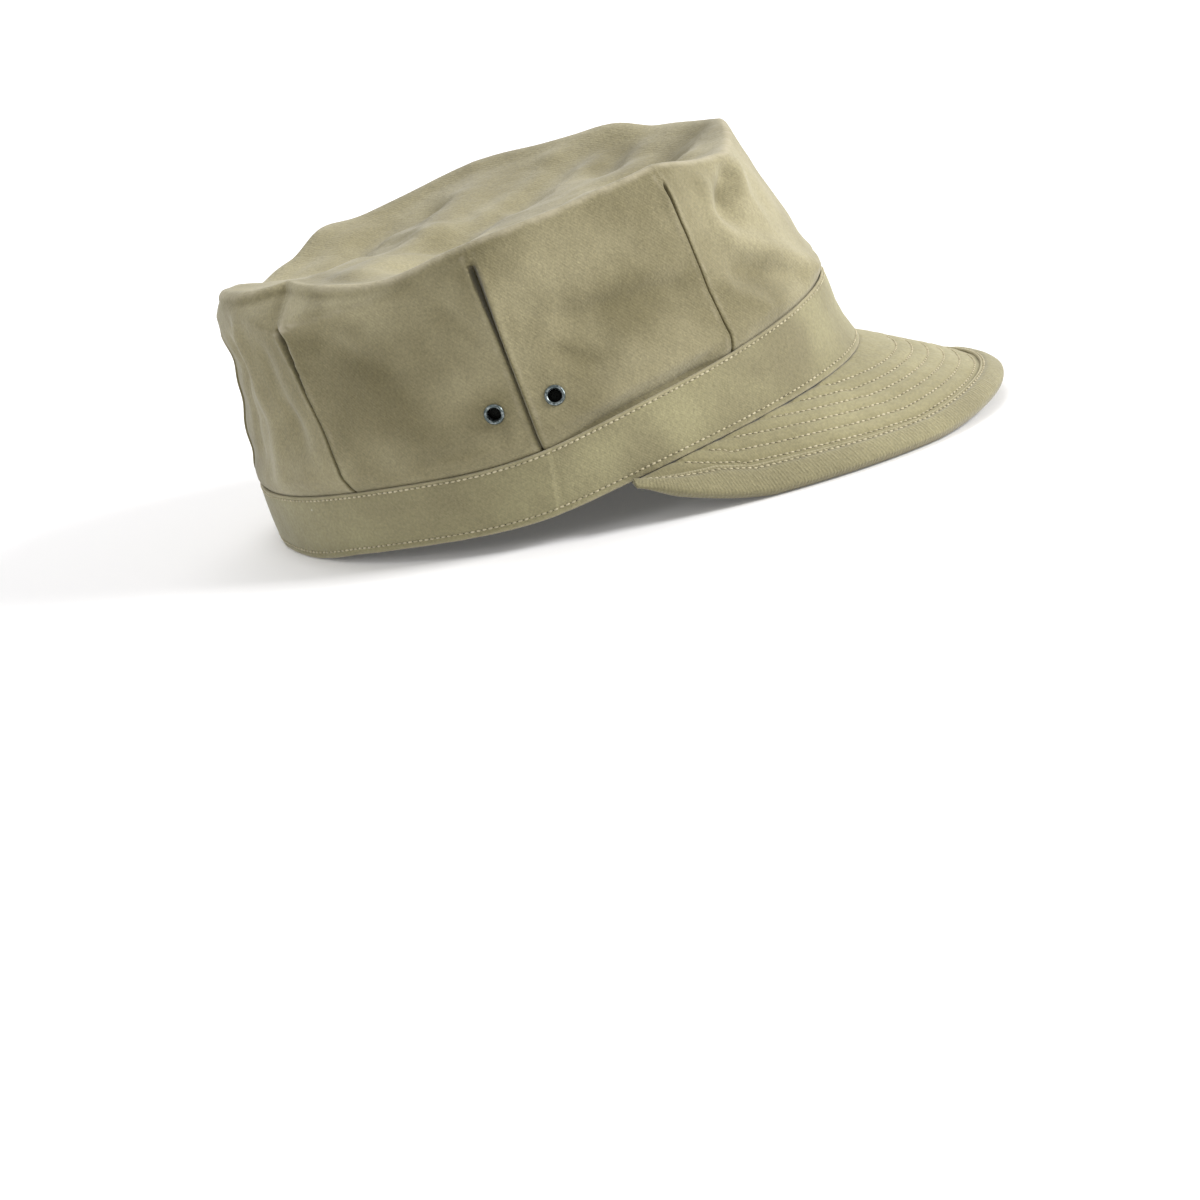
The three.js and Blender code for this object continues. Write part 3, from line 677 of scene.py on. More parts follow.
@dataclass
class Stitching:
    """Rows of lock stitches, each a small rounded length of thread that ends in a dimpled needle hole, whose shade is
    painted by a small dark blob.
    """

    pitch: float = 2.1
    length: float = 1.5
    width: float = 0.76
    height: float = 0.56
    sunk: float = 0.14
    hole: float = 0.52
    hole_depth: float = 0.2
    stray: float = 0.07
    batch: int = 12
    seed: int = 11
    rows: list[tuple[np.ndarray, np.ndarray]] = field(default_factory=list)

    def add(self, path: np.ndarray, normals: np.ndarray) -> None:
        """Adds a row along a path in the cap's frame, with the cloth's normals."""
        self.rows.append((path, normals))

    def one(self, bm: bmesh.types.BMesh, ends: list[np.ndarray], up: np.ndarray, chance: random.Random) -> None:
        """Adds one stitch and, behind it, a dark blob that paints the needle hole's shade.

        Args:
            bm: The batch of stitches.
            ends: The stitch's start, middle and end on the cloth, in metres.
            up: The cloth's normal.
            chance: Draws the stitch's small faults.
        """
        along = unit(ends[2] - ends[0])
        side = unit(np.cross(up, along))
        side = unit(side + along * chance.gauss(0, self.stray))
        along = np.cross(side, up)
        size = 1 + chance.gauss(0, 0.06)
        axes = np.stack([side * self.width, up * self.height, along * self.length * size], 1) * MM / 2
        matrix = Matrix(axes.tolist()).to_4x4()
        matrix.translation = Vector(ends[1] + up * self.sunk * MM)
        bmesh.ops.create_uvsphere(bm, u_segments=6, v_segments=4, radius=1.0, matrix=matrix)
        # A dark blob at the needle hole: painted shade.
        axes = np.stack([side * self.hole, up * self.hole_depth, along * self.hole], 1) * MM / 2
        matrix = Matrix(axes.tolist()).to_4x4()
        matrix.translation = Vector(ends[2] + along * (self.pitch - self.length) * MM / 2)
        made = bmesh.ops.create_uvsphere(bm, u_segments=6, v_segments=3, radius=1.0, matrix=matrix)
        for face in {f for v in made["verts"] for f in v.link_faces}:
            face.material_index = 1

    def sew(self, whole: bmesh.types.BMesh, path: np.ndarray, normals: np.ndarray, chance: random.Random) -> None:
        """Sews one row, a small batch of stitches at a time.

        Args:
            whole: The piece that the row joins.
            path: Close points along the row, in metres.
            normals: The cloth's normal at each point.
            chance: Draws the stitches' small faults.
        """
        steps = np.linalg.norm(np.diff(path, axis=0), axis=1)
        run = np.concatenate([[0], np.cumsum(steps)])
        count = max(int(run[-1] / (self.pitch * MM)), 1)
        middles = (np.arange(count) + 0.5) * run[-1] / count
        for batch in np.array_split(middles, max(count // self.batch, 1)):
            bm = bmesh.new()
            for middle in batch:
                half = self.length * MM / 2
                places = (middle - half, middle, middle + half)
                ends = [np.array([np.interp(s, run, path[:, k]) for k in range(3)]) for s in places]
                up = unit(np.array([np.interp(middle, run, normals[:, k]) for k in range(3)]))
                self.one(bm, ends, up, chance)
            spare = bpy.data.meshes.new("spare")
            bm.to_mesh(spare)
            bm.free()
            whole.from_mesh(spare)
            bpy.data.meshes.remove(spare)

    def make(
        self, name: str, form: CapForm, material: bpy.types.Material, holes: bpy.types.Material
    ) -> bpy.types.Object:
        """Joins the rows into one piece.

        Args:
            name: The piece's name.
            form: The cap's form.
            material: The thread.
            holes: The shadowed needle holes.

        Returns:
            The stitches as one piece.
        """
        chance = random.Random(self.seed)
        whole = bmesh.new()
        for path, normals in self.rows:
            settled = form.settle(path)
            up = unit(form.settle(path + normals) - settled)
            self.sew(whole, settled, up, chance)
        piece = finished(name, whole, material)
        piece.data.materials.append(holes)
        return piece


@dataclass
class Crown:
    """The darted wall and the soft flat top, of one thickness of twill, with four vent holes.

    dart_shadow is the width of the painted shade along a dart and dart_worn the place and width of its worn lips, in
    millimetres. dart_painted_shade, dart_wear, rim_wear and crease_wear are how strong each is. The ends of wall_folds
    and worn_creases are stations and shares of the wall's height, those of top_folds millimetres across the top.
    wall_painted_light_and_shade and top_painted_light_and_shade are soft spots of painted light and shade.
    """

    form: CapForm
    cloth: float = 1.4
    tuck_inset: float = 1.9
    tuck_rows: int = 3
    wall_rows: int = 60
    fold_rows: int = 7
    top_rows: int = 38
    step: float = 1.16
    slump_from: tuple[float, float] = (51.0, 60.0)
    slump_to: tuple[float, float] = (78.0, 90.0)
    dart_shadow: float = 0.75
    dart_painted_shade: float = 4.0
    dart_wear: float = 0.35
    dart_worn: tuple[float, float] = (2.2, 1.2)
    rim_wear: float = 0.6
    crease_wear: float = 0.5
    rim_lip: float = 1.3
    top_swing: float = 1.5
    vent_reach: float = 2.5
    vent_radius: float = 2.75
    vents: tuple[tuple[str, float, float], ...] = (
        ("eyelet_right_front", 86.31, 15.4),
        ("eyelet_right_rear", 97.69, 17.0),
        ("eyelet_left_front", -86.31, 15.4),
        ("eyelet_left_rear", -97.69, 17.0),
    )
    dart_offsets: tuple[float, ...] = (0, 0.22, 0.45, 0.7, 1.0, 1.35, 1.8, 2.4, 3.2, 4.3)
    wall_folds: tuple[Fold, ...] = (
        Fold((180, 0.14), (158, 0.16), 9, -0.8),
        Fold((150, 0.14), (128, 0.16), 9, 1.8),
        Fold((180, 0.66), (160, 0.61), 8, -2.4),
        Fold((-30, 0.5), (-12, 0.36), 12, 0.6),
        Fold((180, 0.44), (142, 0.38), 7, -1.6),
        Fold((88, 0.12), (20, 0.1), 8, 1.3),
        Fold((-15, 0.1), (-125, 0.14), 9, 1.5),
        Fold((31, 0.66), (28, 0.80), 6, -1.6),
        Fold((15, 0.68), (12, 0.86), 8, -0.8),
        Fold((116, 0.5), (104, 0.35), 9, 1.6),
        Fold((-60, 0.5), (-84, 0.42), 10, -1.5),
        Fold((78, 0.53), (57, 0.44), 5.5, -2.2),
        Fold((80, 0.66), (56, 0.57), 6.5, 1.5),
        Fold((70, 0.28), (54, 0.26), 6.0, 1.2),
        Fold((82.5, 0.39), (77, 0.27), 3.2, -1.2),
        Fold((120, 0.73), (113, 0.57), 4.5, -1.0),
        Fold((117, 0.78), (108, 0.66), 5.0, 1.0),
        Fold((99, 0.82), (96, 0.62), 3.0, -1.1),
        Fold((103, 0.27), (98, 0.17), 4.5, -1.5),
        Fold((109, 0.10), (96, 0.12), 4.5, 1.3),
        Fold((38, 0.70), (36.5, 0.9), 5.0, 1.6),
        Fold((34, 0.71), (25, 0.89), 6.2, -3.5),
        Fold((16, 0.97), (22, 0.80), 4.0, 1.4),
        Fold((37, 0.56), (13, 0.14), 6.5, 2.7),
        Fold((40, 0.36), (22, 0.12), 6.5, -2.4),
        Fold((44, 0.3), (38, 0.14), 4.0, 1.2),
        Fold((130, 0.87), (106, 0.985), 3.4, 1.5),
        Fold((136, 0.95), (154, 0.84), 6.0, 1.3),
        Fold((143, 0.72), (140, 0.3), 5.5, -1.6),
        Fold((154, 0.85), (150, 0.3), 6.0, 1.6),
        Fold((166, 0.75), (163, 0.25), 5.5, -1.6),
    )
    worn_creases: tuple[Fold, ...] = (
        Fold((129, 0.88), (111, 0.965), 1.5, 0.45),
    )
    top_folds: tuple[Fold, ...] = (
        Fold((-40, 50), (40, 10), 9, 2.0),
        Fold((-30, 28), (44, -18), 9, -2.2),
        Fold((10, 60), (52, 34), 8, -1.6),
        Fold((-10, -40), (24, -74), 9, -2.0),
        Fold((56, -28), (22, -1), 6.0, 1.6),
        Fold((46, -37), (20, -12), 6.5, -1.6),
        Fold((16, 4), (8, 22), 5.0, 1.1),
        Fold((49, -50), (24, -42), 7.0, -2.2),
        Fold((26, -58), (4, -63), 6.0, -1.5),
        Fold((13, -82), (-4, -73), 5.0, 1.6),
        Fold((-8, 34), (-2, 14), 5.0, -1.0),
        Fold((-30, 66), (-4, 48), 7.0, 1.4),
        Fold((-52, 10), (-30, -4), 8.0, -1.6),
        Fold((-40, -30), (-20, -44), 7.0, 1.4),
        Fold((42, 22), (34, 44), 7.0, -1.6),
    )

    # Painted light and shade in soft round spots on the wall: station, share of the wall's height, reach in
    # millimetres, and how much lighter (above 0) or darker.
    wall_painted_light_and_shade: tuple[tuple[float, float, float, float], ...] = (
        (116, 0.46, 15, -1.1), (99, 0.24, 9, -0.6), (66, 0.46, 12, -1.3), (78, 0.30, 8, -0.4), (36, 0.04, 6, -0.4),
        (66, 0.8, 14, 0.4), (84, 0.75, 10, 0.5), (62, 0.2, 9, 0.2), (112, 0.9, 12, 1.0), (33, 0.55, 12, 0.9),
        (160, 0.5, 16, 0.2), (16, 0.3, 14, 0.8), (96, 0.3, 6, -0.4), (14, 0.7, 18, 0.9), (98, 0.88, 9, 0.5),
        (30, 0.80, 6, -1.2), (34, 0.29, 9, -0.6),
        (134, 0.13, 9, 0.7), (119, 0.12, 8, 0.6), (127, 0.96, 6, 1.2), (117, 0.985, 5, 0.9),
        (116, 0.85, 6, -0.5), (125, 0.79, 5, -0.4),
    )
    # Painted light and shade in soft round spots on the top: x and y in millimetres, reach, and how much lighter (above
    # 0) or darker.
    top_painted_light_and_shade: tuple[tuple[float, float, float, float], ...] = (
        (30, 20, 14, -0.6), (0, 60, 14, 0.3), (35, -44, 11, -1.7), (14, -58, 12, -0.9), (10, -20, 14, 0.3),
        (-30, 0, 18, 0.2), (24, -78, 10, -0.5), (38, 36, 10, -0.5), (44, -8, 10, -0.4), (54, 54, 14, 0.3),
    )

    def stations(self) -> np.ndarray:
        """The columns' stations, close together at the darts and the vents."""
        arc = self.form.arc
        near = [(d.band, [s * o / arc for o in self.dart_offsets for s in (-1, 1)]) for d in self.form.darts]
        near += [(s, [k * 0.3 for k in range(-8, 9)]) for _, s, _ in self.vents]
        picked = [-180.0, 180.0]
        for centre, offsets in near:
            picked += [float(turn(0, centre + o)) for o in offsets if abs(float(turn(0, centre + o))) < 179.95]
        picked = sorted(picked)
        kept = [picked[0]]
        for s in picked[1:]:
            if s - kept[-1] > 0.09:
                kept.append(s)
        kept[-1] = 180.0
        full = [kept[0]]
        for s in kept[1:]:
            parts = max(int(math.ceil((s - full[-1]) / self.step)), 1)
            full += list(np.linspace(full[-1], s, parts + 1)[1:])
        return np.array(full)

    def rises(self) -> np.ndarray:
        """The wall rows' shares of its height, closer together at the vents."""
        fine = np.linspace(0.165, 0.305, 17)
        low = np.linspace(0, fine[0], 11)[:-1]
        high = np.linspace(fine[-1], 1, self.wall_rows - 26)[1:]
        return np.concatenate([low, fine, high])

    def dart_relief(self, station: np.ndarray, rise: np.ndarray) -> np.ndarray:
        """How far the darts draw the wall in, with a soft roll at each lip."""
        relief = np.zeros_like(station)
        for dart in self.form.darts:
            signed = turn(dart.band, station) * self.form.arc
            aside = np.abs(signed)
            opened = ramp(rise, 0.35, dart.top)
            closed = 1 - ramp(rise, dart.top - 0.01, dart.top + 0.025)
            faded = 1 - ramp(rise, dart.top - 0.08, dart.top + 0.01)
            width = 0.55 + (dart.mouth - 0.55) * opened ** 2
            deep = (2.0 + (dart.depth - 2.0) * opened) * closed
            relief -= deep * np.clip(1 - aside / width, 0, 1) ** 0.8
            upper = np.where(signed * dart.lap > 0, 1.0, -0.55) * np.exp(-aside / 5.5) * np.minimum(aside / 0.3, 1)
            relief += abs(dart.lap) * upper * faded * ramp(rise, 0, 0.08)
            relief += (0.15 + 0.45 * opened) * faded * bell(aside, width + 1.1, 1.3)
        return relief

    def on_wall(self, folds: tuple[Fold, ...], station: np.ndarray, rise: np.ndarray) -> np.ndarray:
        """The folds' heights at places on the wall."""
        arc, tall = self.form.arc, self.form.wall_height
        relief = np.zeros_like(station)
        for fold in folds:
            centre = (fold.start[0] + fold.end[0]) / 2
            around = turn(centre, station) * arc
            shifted = Fold(
                ((fold.start[0] - centre) * arc, fold.start[1] * tall),
                ((fold.end[0] - centre) * arc, fold.end[1] * tall),
                fold.spread, fold.height,
            )
            relief += shifted.relief(around, rise * tall)
        return relief

    def wall_relief(self, station: np.ndarray, rise: np.ndarray) -> np.ndarray:
        """The soft folds and dents of the wall."""
        relief = self.on_wall(self.wall_folds, station, rise)
        return relief * ramp(rise, 0, 0.1) * (1 - ramp(rise, 0.95, 1.03))

    def crumple(self, p: np.ndarray) -> np.ndarray:
        """How far the cloth wanders out at points of the wall."""
        return 0.8 * drift(p, 21, 3.1) + 0.26 * drift(p, 8, 5.3)

    def wall(self, station: np.ndarray, rise: np.ndarray) -> np.ndarray:
        """The wall's outer surface.

        Args:
            station: Stations on the band.
            rise: Shares of the wall's height, 0 at the band and 1 below the rim's fold.

        Returns:
            The points.
        """
        form = self.form
        low = form.band_head(station)
        low[..., 2] += form.gap
        high = form.rim_line(station)
        high[..., 2] -= form.rim_fold
        p = low * (1 - rise)[:, None] + high * rise[:, None]
        height = rise * form.wall_height
        slumped = ramp(station, *self.slump_from) * (1 - ramp(station, *self.slump_to))
        inset = -1.25 * (1 - ramp(height, 0, 1.8)) + 0.8 * bell(height, 6.0, 3.6)
        inset += slumped * (1.5 * bell(height, 10, 4) - 2.6 * (1 - ramp(height, 0.5, 7.5)))
        crumple = self.crumple(p) * ramp(rise, 0, 0.08)
        push = inset + crumple + self.wall_relief(station, rise) + self.dart_relief(station, rise)
        push -= form.lean_in(station, (1 - rise) * form.wall_height)
        return p + form.outward(station) * push[:, None]

    def fold(self, station: np.ndarray, angle: float) -> np.ndarray:
        """The rolled rim between the wall and the top, at an angle from 0 to 90 degrees."""
        form = self.form
        p = form.rim_line(station)
        r = form.rim_fold
        p = p - form.outward(station) * (r * (1 - math.cos(math.radians(angle))))
        p[:, 2] -= r * (1 - math.sin(math.radians(angle)))
        return p + form.outward(station) * (self.crumple(p) - form.lean_in(station, 0.0))[:, None]

    def top(self, station: np.ndarray, inward: float) -> np.ndarray:
        """The top's points at a share of the way from the rim to the middle."""
        form = self.form
        inset = form.rim_fold + form.lean_in(station, 0.0)
        edge = form.rim_line(station) - form.outward(station) * inset[:, None]
        middle = np.array(form.middle, float)
        p = edge * (1 - inward) + middle * inward
        p[:, 2] = middle[2] + (edge[:, 2] - middle[2]) * (1 - inward) ** 2
        relief = self.top_swing * sum(f.relief(p[:, 0], p[:, 1]) for f in self.top_folds)
        crumple = 1.1 * drift(p, 18, 8.4) + 0.35 * drift(p, 7, 1.9)
        away = form.outward(station) * (0.8 * drift(p, 21, 3.1) * (1 - min(inward * 10, 1)))[:, None]
        p[:, 2] += (relief + crumple) * float(ramp(np.array(inward), 0, 0.22))
        p[:, 2] -= self.rim_lip * float(ramp(np.array(inward), 0, 0.1))
        return p + away

    def tuck(self, station: np.ndarray, share: float) -> np.ndarray:
        """The cloth sewn behind the band, from its foot to its head."""
        form = self.form
        foot, head = form.band_foot(station), form.band_head(station)
        foot[:, 2] += 1
        head[:, 2] -= 1
        return foot * (1 - share) + head * share - form.outward(station) * self.tuck_inset

    def seat(self, station: float, above: float) -> tuple[np.ndarray, np.ndarray]:
        """The place and normal of a vent on the wall."""
        s = np.array([station, station + 1.2, station - 1.2, station, station])
        r = np.array([above, above, above, above + 2, above - 2]) / self.form.wall_height
        p = self.wall(s, r)
        normal = unit(np.cross(p[1] - p[2], p[3] - p[4]))
        if normal @ self.form.outward(s[:1])[0] < 0:
            normal = -normal
        return (p[0] + p[1:].mean(0)) / 2, normal

    def grid(self) -> ClothGrid:
        """The crown's cloth from its hidden lower edge to the middle of the top."""
        s = self.stations()
        rises = self.rises()
        rows = [self.tuck(s, t) for t in np.linspace(0, 1, self.tuck_rows)]
        rows += [self.wall(s, np.full_like(s, r)) for r in rises]
        rows += [self.fold(s, a) for a in np.linspace(0, 90, self.fold_rows + 1)[1:]]
        inward = np.linspace(0, 1, self.top_rows + 1)[1:] ** 0.9
        rows += [self.top(s, t) for t in inward]
        place = np.stack(rows)
        place[:, -1] = place[:, 0]
        place[-1, :] = place[-1].mean(0)
        steps = np.linalg.norm(np.diff(place, axis=0), axis=2).mean(1)
        up = np.concatenate([[0], np.cumsum(steps)])
        around = s * self.form.arc
        flat = np.stack(np.broadcast_arrays(around[None, :], up[:, None]), -1)
        wear = np.zeros(place.shape[:2])
        first_fold = self.tuck_rows + len(rises)
        level = np.arange(len(place), dtype=float)
        rimmed = bell(level, first_fold + self.fold_rows * 0.5, self.fold_rows * 0.45)[:, None]
        creased = np.zeros(place.shape[:2])
        below = (1 - rises)[:, None] * self.form.wall_height
        for roll in self.form.rolls:
            drop = roll.drop_at(s)[None, :]
            creased[self.tuck_rows:first_fold] += bell(below, drop, 1.0) * ramp(drop, 4.0, 8.0)
            rimmed = rimmed * (1 - 0.6 * ramp(drop, 2.0, 6.0))
        wear += self.rim_wear * rimmed + self.crease_wear * creased
        over = np.broadcast_arrays(s[None, :], rises[:, None])
        wear[self.tuck_rows:first_fold] += self.on_wall(self.worn_creases, *over)
        for dart in self.form.darts:
            aside = np.abs(turn(dart.band, s)) * self.form.arc
            on_wall = (level > self.tuck_rows) & (level < first_fold)
            wear += on_wall[:, None] * self.dart_wear * bell(aside, *self.dart_worn)[None, :]
        stain_and_painted_light = np.zeros(place.shape[:2])
        share = np.concatenate([np.zeros(self.tuck_rows), rises, np.ones(len(place) - first_fold)])
        # Painted light and shade in soft spots on the wall.
        for station, rise, reach, value in self.wall_painted_light_and_shade:
            away = np.hypot(turn(station, s)[None, :] * self.form.arc, (share - rise)[:, None] * self.form.wall_height)
            stain_and_painted_light += value * bell(away, 0, reach)
        # Painted shade in each dart's groove, up to the dart's head.
        for dart in self.form.darts:
            line = bell(turn(dart.band, s)[None, :] * self.form.arc, 0, self.dart_shadow)
            stain_and_painted_light -= self.dart_painted_shade * line * (share < dart.top + 0.005)[:, None]
        stain_and_painted_light *= (level < first_fold + self.fold_rows)[:, None]
        # Painted light and shade in soft spots on the top.
        for x, y, reach, value in self.top_painted_light_and_shade:
            away = np.hypot(place[..., 0] - x, place[..., 1] - y)
            stain_and_painted_light += value * bell(away, 0, reach) * (level >= first_fold)[:, None]
        return ClothGrid(place, flat, wear, stain_and_painted_light, place[..., :2], first_fold + self.fold_rows // 2)

    def cut_vent(self, bm: bmesh.types.BMesh, place: np.ndarray, normal: np.ndarray) -> None:
        """Cuts a round hole in the cloth.

        Args:
            bm: The crown's cloth.
            place: The hole's middle, in metres.
            normal: The cloth's normal there.
        """
        centre, axis = Vector(place), Vector(normal)
        inside = [v for v in bm.verts if (v.co - centre).length < self.vent_reach * MM]
        bmesh.ops.delete(bm, geom=inside, context="VERTS")
        bm.verts.ensure_lookup_table()
        near = 4.6 * MM
        for v in bm.verts:
            away = v.co - centre
            if away.length > near or not v.is_boundary:
                continue
            height = away.dot(axis)
            level = away - axis * height
            v.co = centre + level.normalized() * self.vent_radius * MM + axis * height

    def make(self, material: bpy.types.Material) -> bpy.types.Object:
        """Builds the crown.

        Args:
            material: Its twill.

        Returns:
            The crown, in place of its solid.
        """
        bm = self.grid().mesh(self.form)
        for _, station, above in self.vents:
            place, normal = self.seat(station, above)
            settled = self.form.settle(place)
            self.cut_vent(bm, settled, unit(self.form.settle(place + normal) - settled))
        piece = finished("crown_cloth", bm, material)
        wall = piece.modifiers.new("cloth thickness", "SOLIDIFY")
        wall.thickness = self.cloth * MM
        wall.offset = -1
        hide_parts("crown")
        return piece


@dataclass
class Band:
    """The doubled band round the crown's foot, topstitched near both edges."""

    form: CapForm
    cloth: float = 1.6
    step: float = 0.42
    swell: float = 0.4
    upper_row: float = 1.2
    lower_row: float = 2.4
    front_hollow: float = 2.2
    groove: float = 0.26
    groove_half: float = 0.75
    lap_station: float = 93.0
    lap: float = 0.45
    # Stains, and painted light and shade, on the band: station, share of its height, reach in millimetres, and how much
    # lighter (above 0) or darker.
    band_stains_and_painted_light: tuple[tuple[float, float, float, float], ...] = (
        (34.5, 0.74, 2.4, -1.5), (34, 0.6, 9, -0.9), (47.5, 0.62, 4, -0.4), (95.5, 0.3, 4, -0.5), (83, 0.5, 7, 0.5),
        (108, 0.45, 12, -0.5), (151, 0.6, 9, -0.4), (66, 0.4, 9, 0.8), (20, 0.4, 9, 0.3), (135, 0.3, 9, 0.3),
        (41, 0.5, 12, -1.1), (0, 0.5, 14, 0.6),
    )

    def stations(self) -> np.ndarray:
        """The columns' stations."""
        return np.linspace(-180, 180, int(360 / self.step) + 1)

    def frame_at(self, station: np.ndarray) -> tuple[np.ndarray, np.ndarray, np.ndarray, np.ndarray]:
        """The lower edge, the way up the face, its height and its normal at the stations."""
        foot, head = self.form.band_foot(station), self.form.band_head(station)
        rise = head - foot
        return foot, unit(rise), np.linalg.norm(rise, axis=-1), out_of(unit(rise), self.form.outward(station))

    def face_relief(self, up: np.ndarray, tall: np.ndarray, station: np.ndarray, p: np.ndarray) -> np.ndarray:
        """How far the outer face stands out, with the dips along its rows of stitches."""
        share = np.clip(up / tall, 0, 1)
        relief = self.swell * np.sin(math.pi * share)
        relief -= self.groove * bell(up, self.lower_row, self.groove_half)
        relief -= self.groove * bell(tall - up, self.upper_row, self.groove_half)
        pucker = drift(p, 5.5, 2.2) * (bell(up, 0, 4.5) + bell(tall - up, 0, 3.5))
        relief += 0.16 * pucker + 0.22 * drift(p, 16, 6.1)
        relief -= self.front_hollow * bell(station, 0, 26) * bell(share, 0.45, 0.34)
        edge = (station - self.lap_station) * self.form.arc + 0.18 * up
        relief += self.lap * (ramp(edge, -0.5, 0.5) - ramp(edge, 0, 26))
        return relief

    def outer(self, station: np.ndarray, up: np.ndarray) -> tuple[np.ndarray, np.ndarray]:
        """Points and normals of the outer face at heights above the lower edge."""
        foot, way, tall, normal = self.frame_at(station)
        p = foot + way * up[:, None]
        return p + normal * self.face_relief(up, tall, station, p)[:, None], normal

    def section(self) -> list[tuple[float, float, bool]]:
        """The closed section as height share, depth behind the face and whether it is the outer face."""
        rows = [(t, 0.0, True) for t in np.linspace(0.035, 0.965, 34)]
        rows += [(0.985, 0.12, True), (0.998, 0.45, True), (1.0, 0.8, False), (0.998, 1.15, False), (0.985, 1.5, False)]
        rows += [(t, self.cloth, False) for t in np.linspace(0.96, 0.04, 9)]
        rows += [(0.015, 1.5, False), (0.002, 1.15, False), (0.0, 0.8, False), (0.002, 0.45, True), (0.015, 0.12, True)]
        return rows

    def grid(self) -> ClothGrid:
        """The band as one closed loop of cloth."""
        s = self.stations()
        foot, way, tall, normal = self.frame_at(s)
        rows = []
        for share, behind, outer in self.section():
            up = share * tall
            p = foot + way * up[:, None]
            relief = self.face_relief(up, tall, s, p) if outer else 0 * up
            rows.append(p + normal * (relief - behind)[:, None])
        rows.append(rows[0])
        place = np.stack(rows)
        place[:, -1] = place[:, 0]
        steps = np.linalg.norm(np.diff(place, axis=0), axis=2).mean(1)
        up = np.concatenate([[0], np.cumsum(steps)])
        flat = np.stack(np.broadcast_arrays((s * self.form.arc)[None, :], up[:, None]), -1)
        shares = np.array([r[0] for r in self.section()] + [self.section()[0][0]])
        wear = (bell(shares, 0, 0.05) + bell(shares, 1, 0.05))[:, None] * np.full(len(s), 0.7)[None, :]
        stain_and_painted_light = np.zeros(place.shape[:2])
        # The band's stains and its painted light and shade.
        for station, share, reach, value in self.band_stains_and_painted_light:
            away = np.hypot(turn(station, s)[None, :] * self.form.arc, (shares - share)[:, None] * self.form.band_side)
            stain_and_painted_light += value * bell(away, 0, reach)
        return ClothGrid(place, flat, wear, stain_and_painted_light)

    def make(self, material: bpy.types.Material) -> bpy.types.Object:
        """Builds the band in place of its solid."""
        piece = finished("band_cloth", self.grid().mesh(self.form), material)
        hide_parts("band")
        return piece

    def stitch(self, thread: bpy.types.Material, holes: bpy.types.Material) -> bpy.types.Object:
        """Sews both rows round the band.

        Args:
            thread: The thread's material.
            holes: The painted shade of the needle holes.

        Returns:
            The stitches.
        """
        rows = Stitching(seed=21)
        s = np.linspace(-179.9, 179.9, 1600)
        _, _, tall, _ = self.frame_at(s)
        for up in (np.full_like(s, self.lower_row), tall - self.upper_row):
            rows.add(*self.outer(s, up))
        return rows.make("band_stitches", self.form, thread, holes)


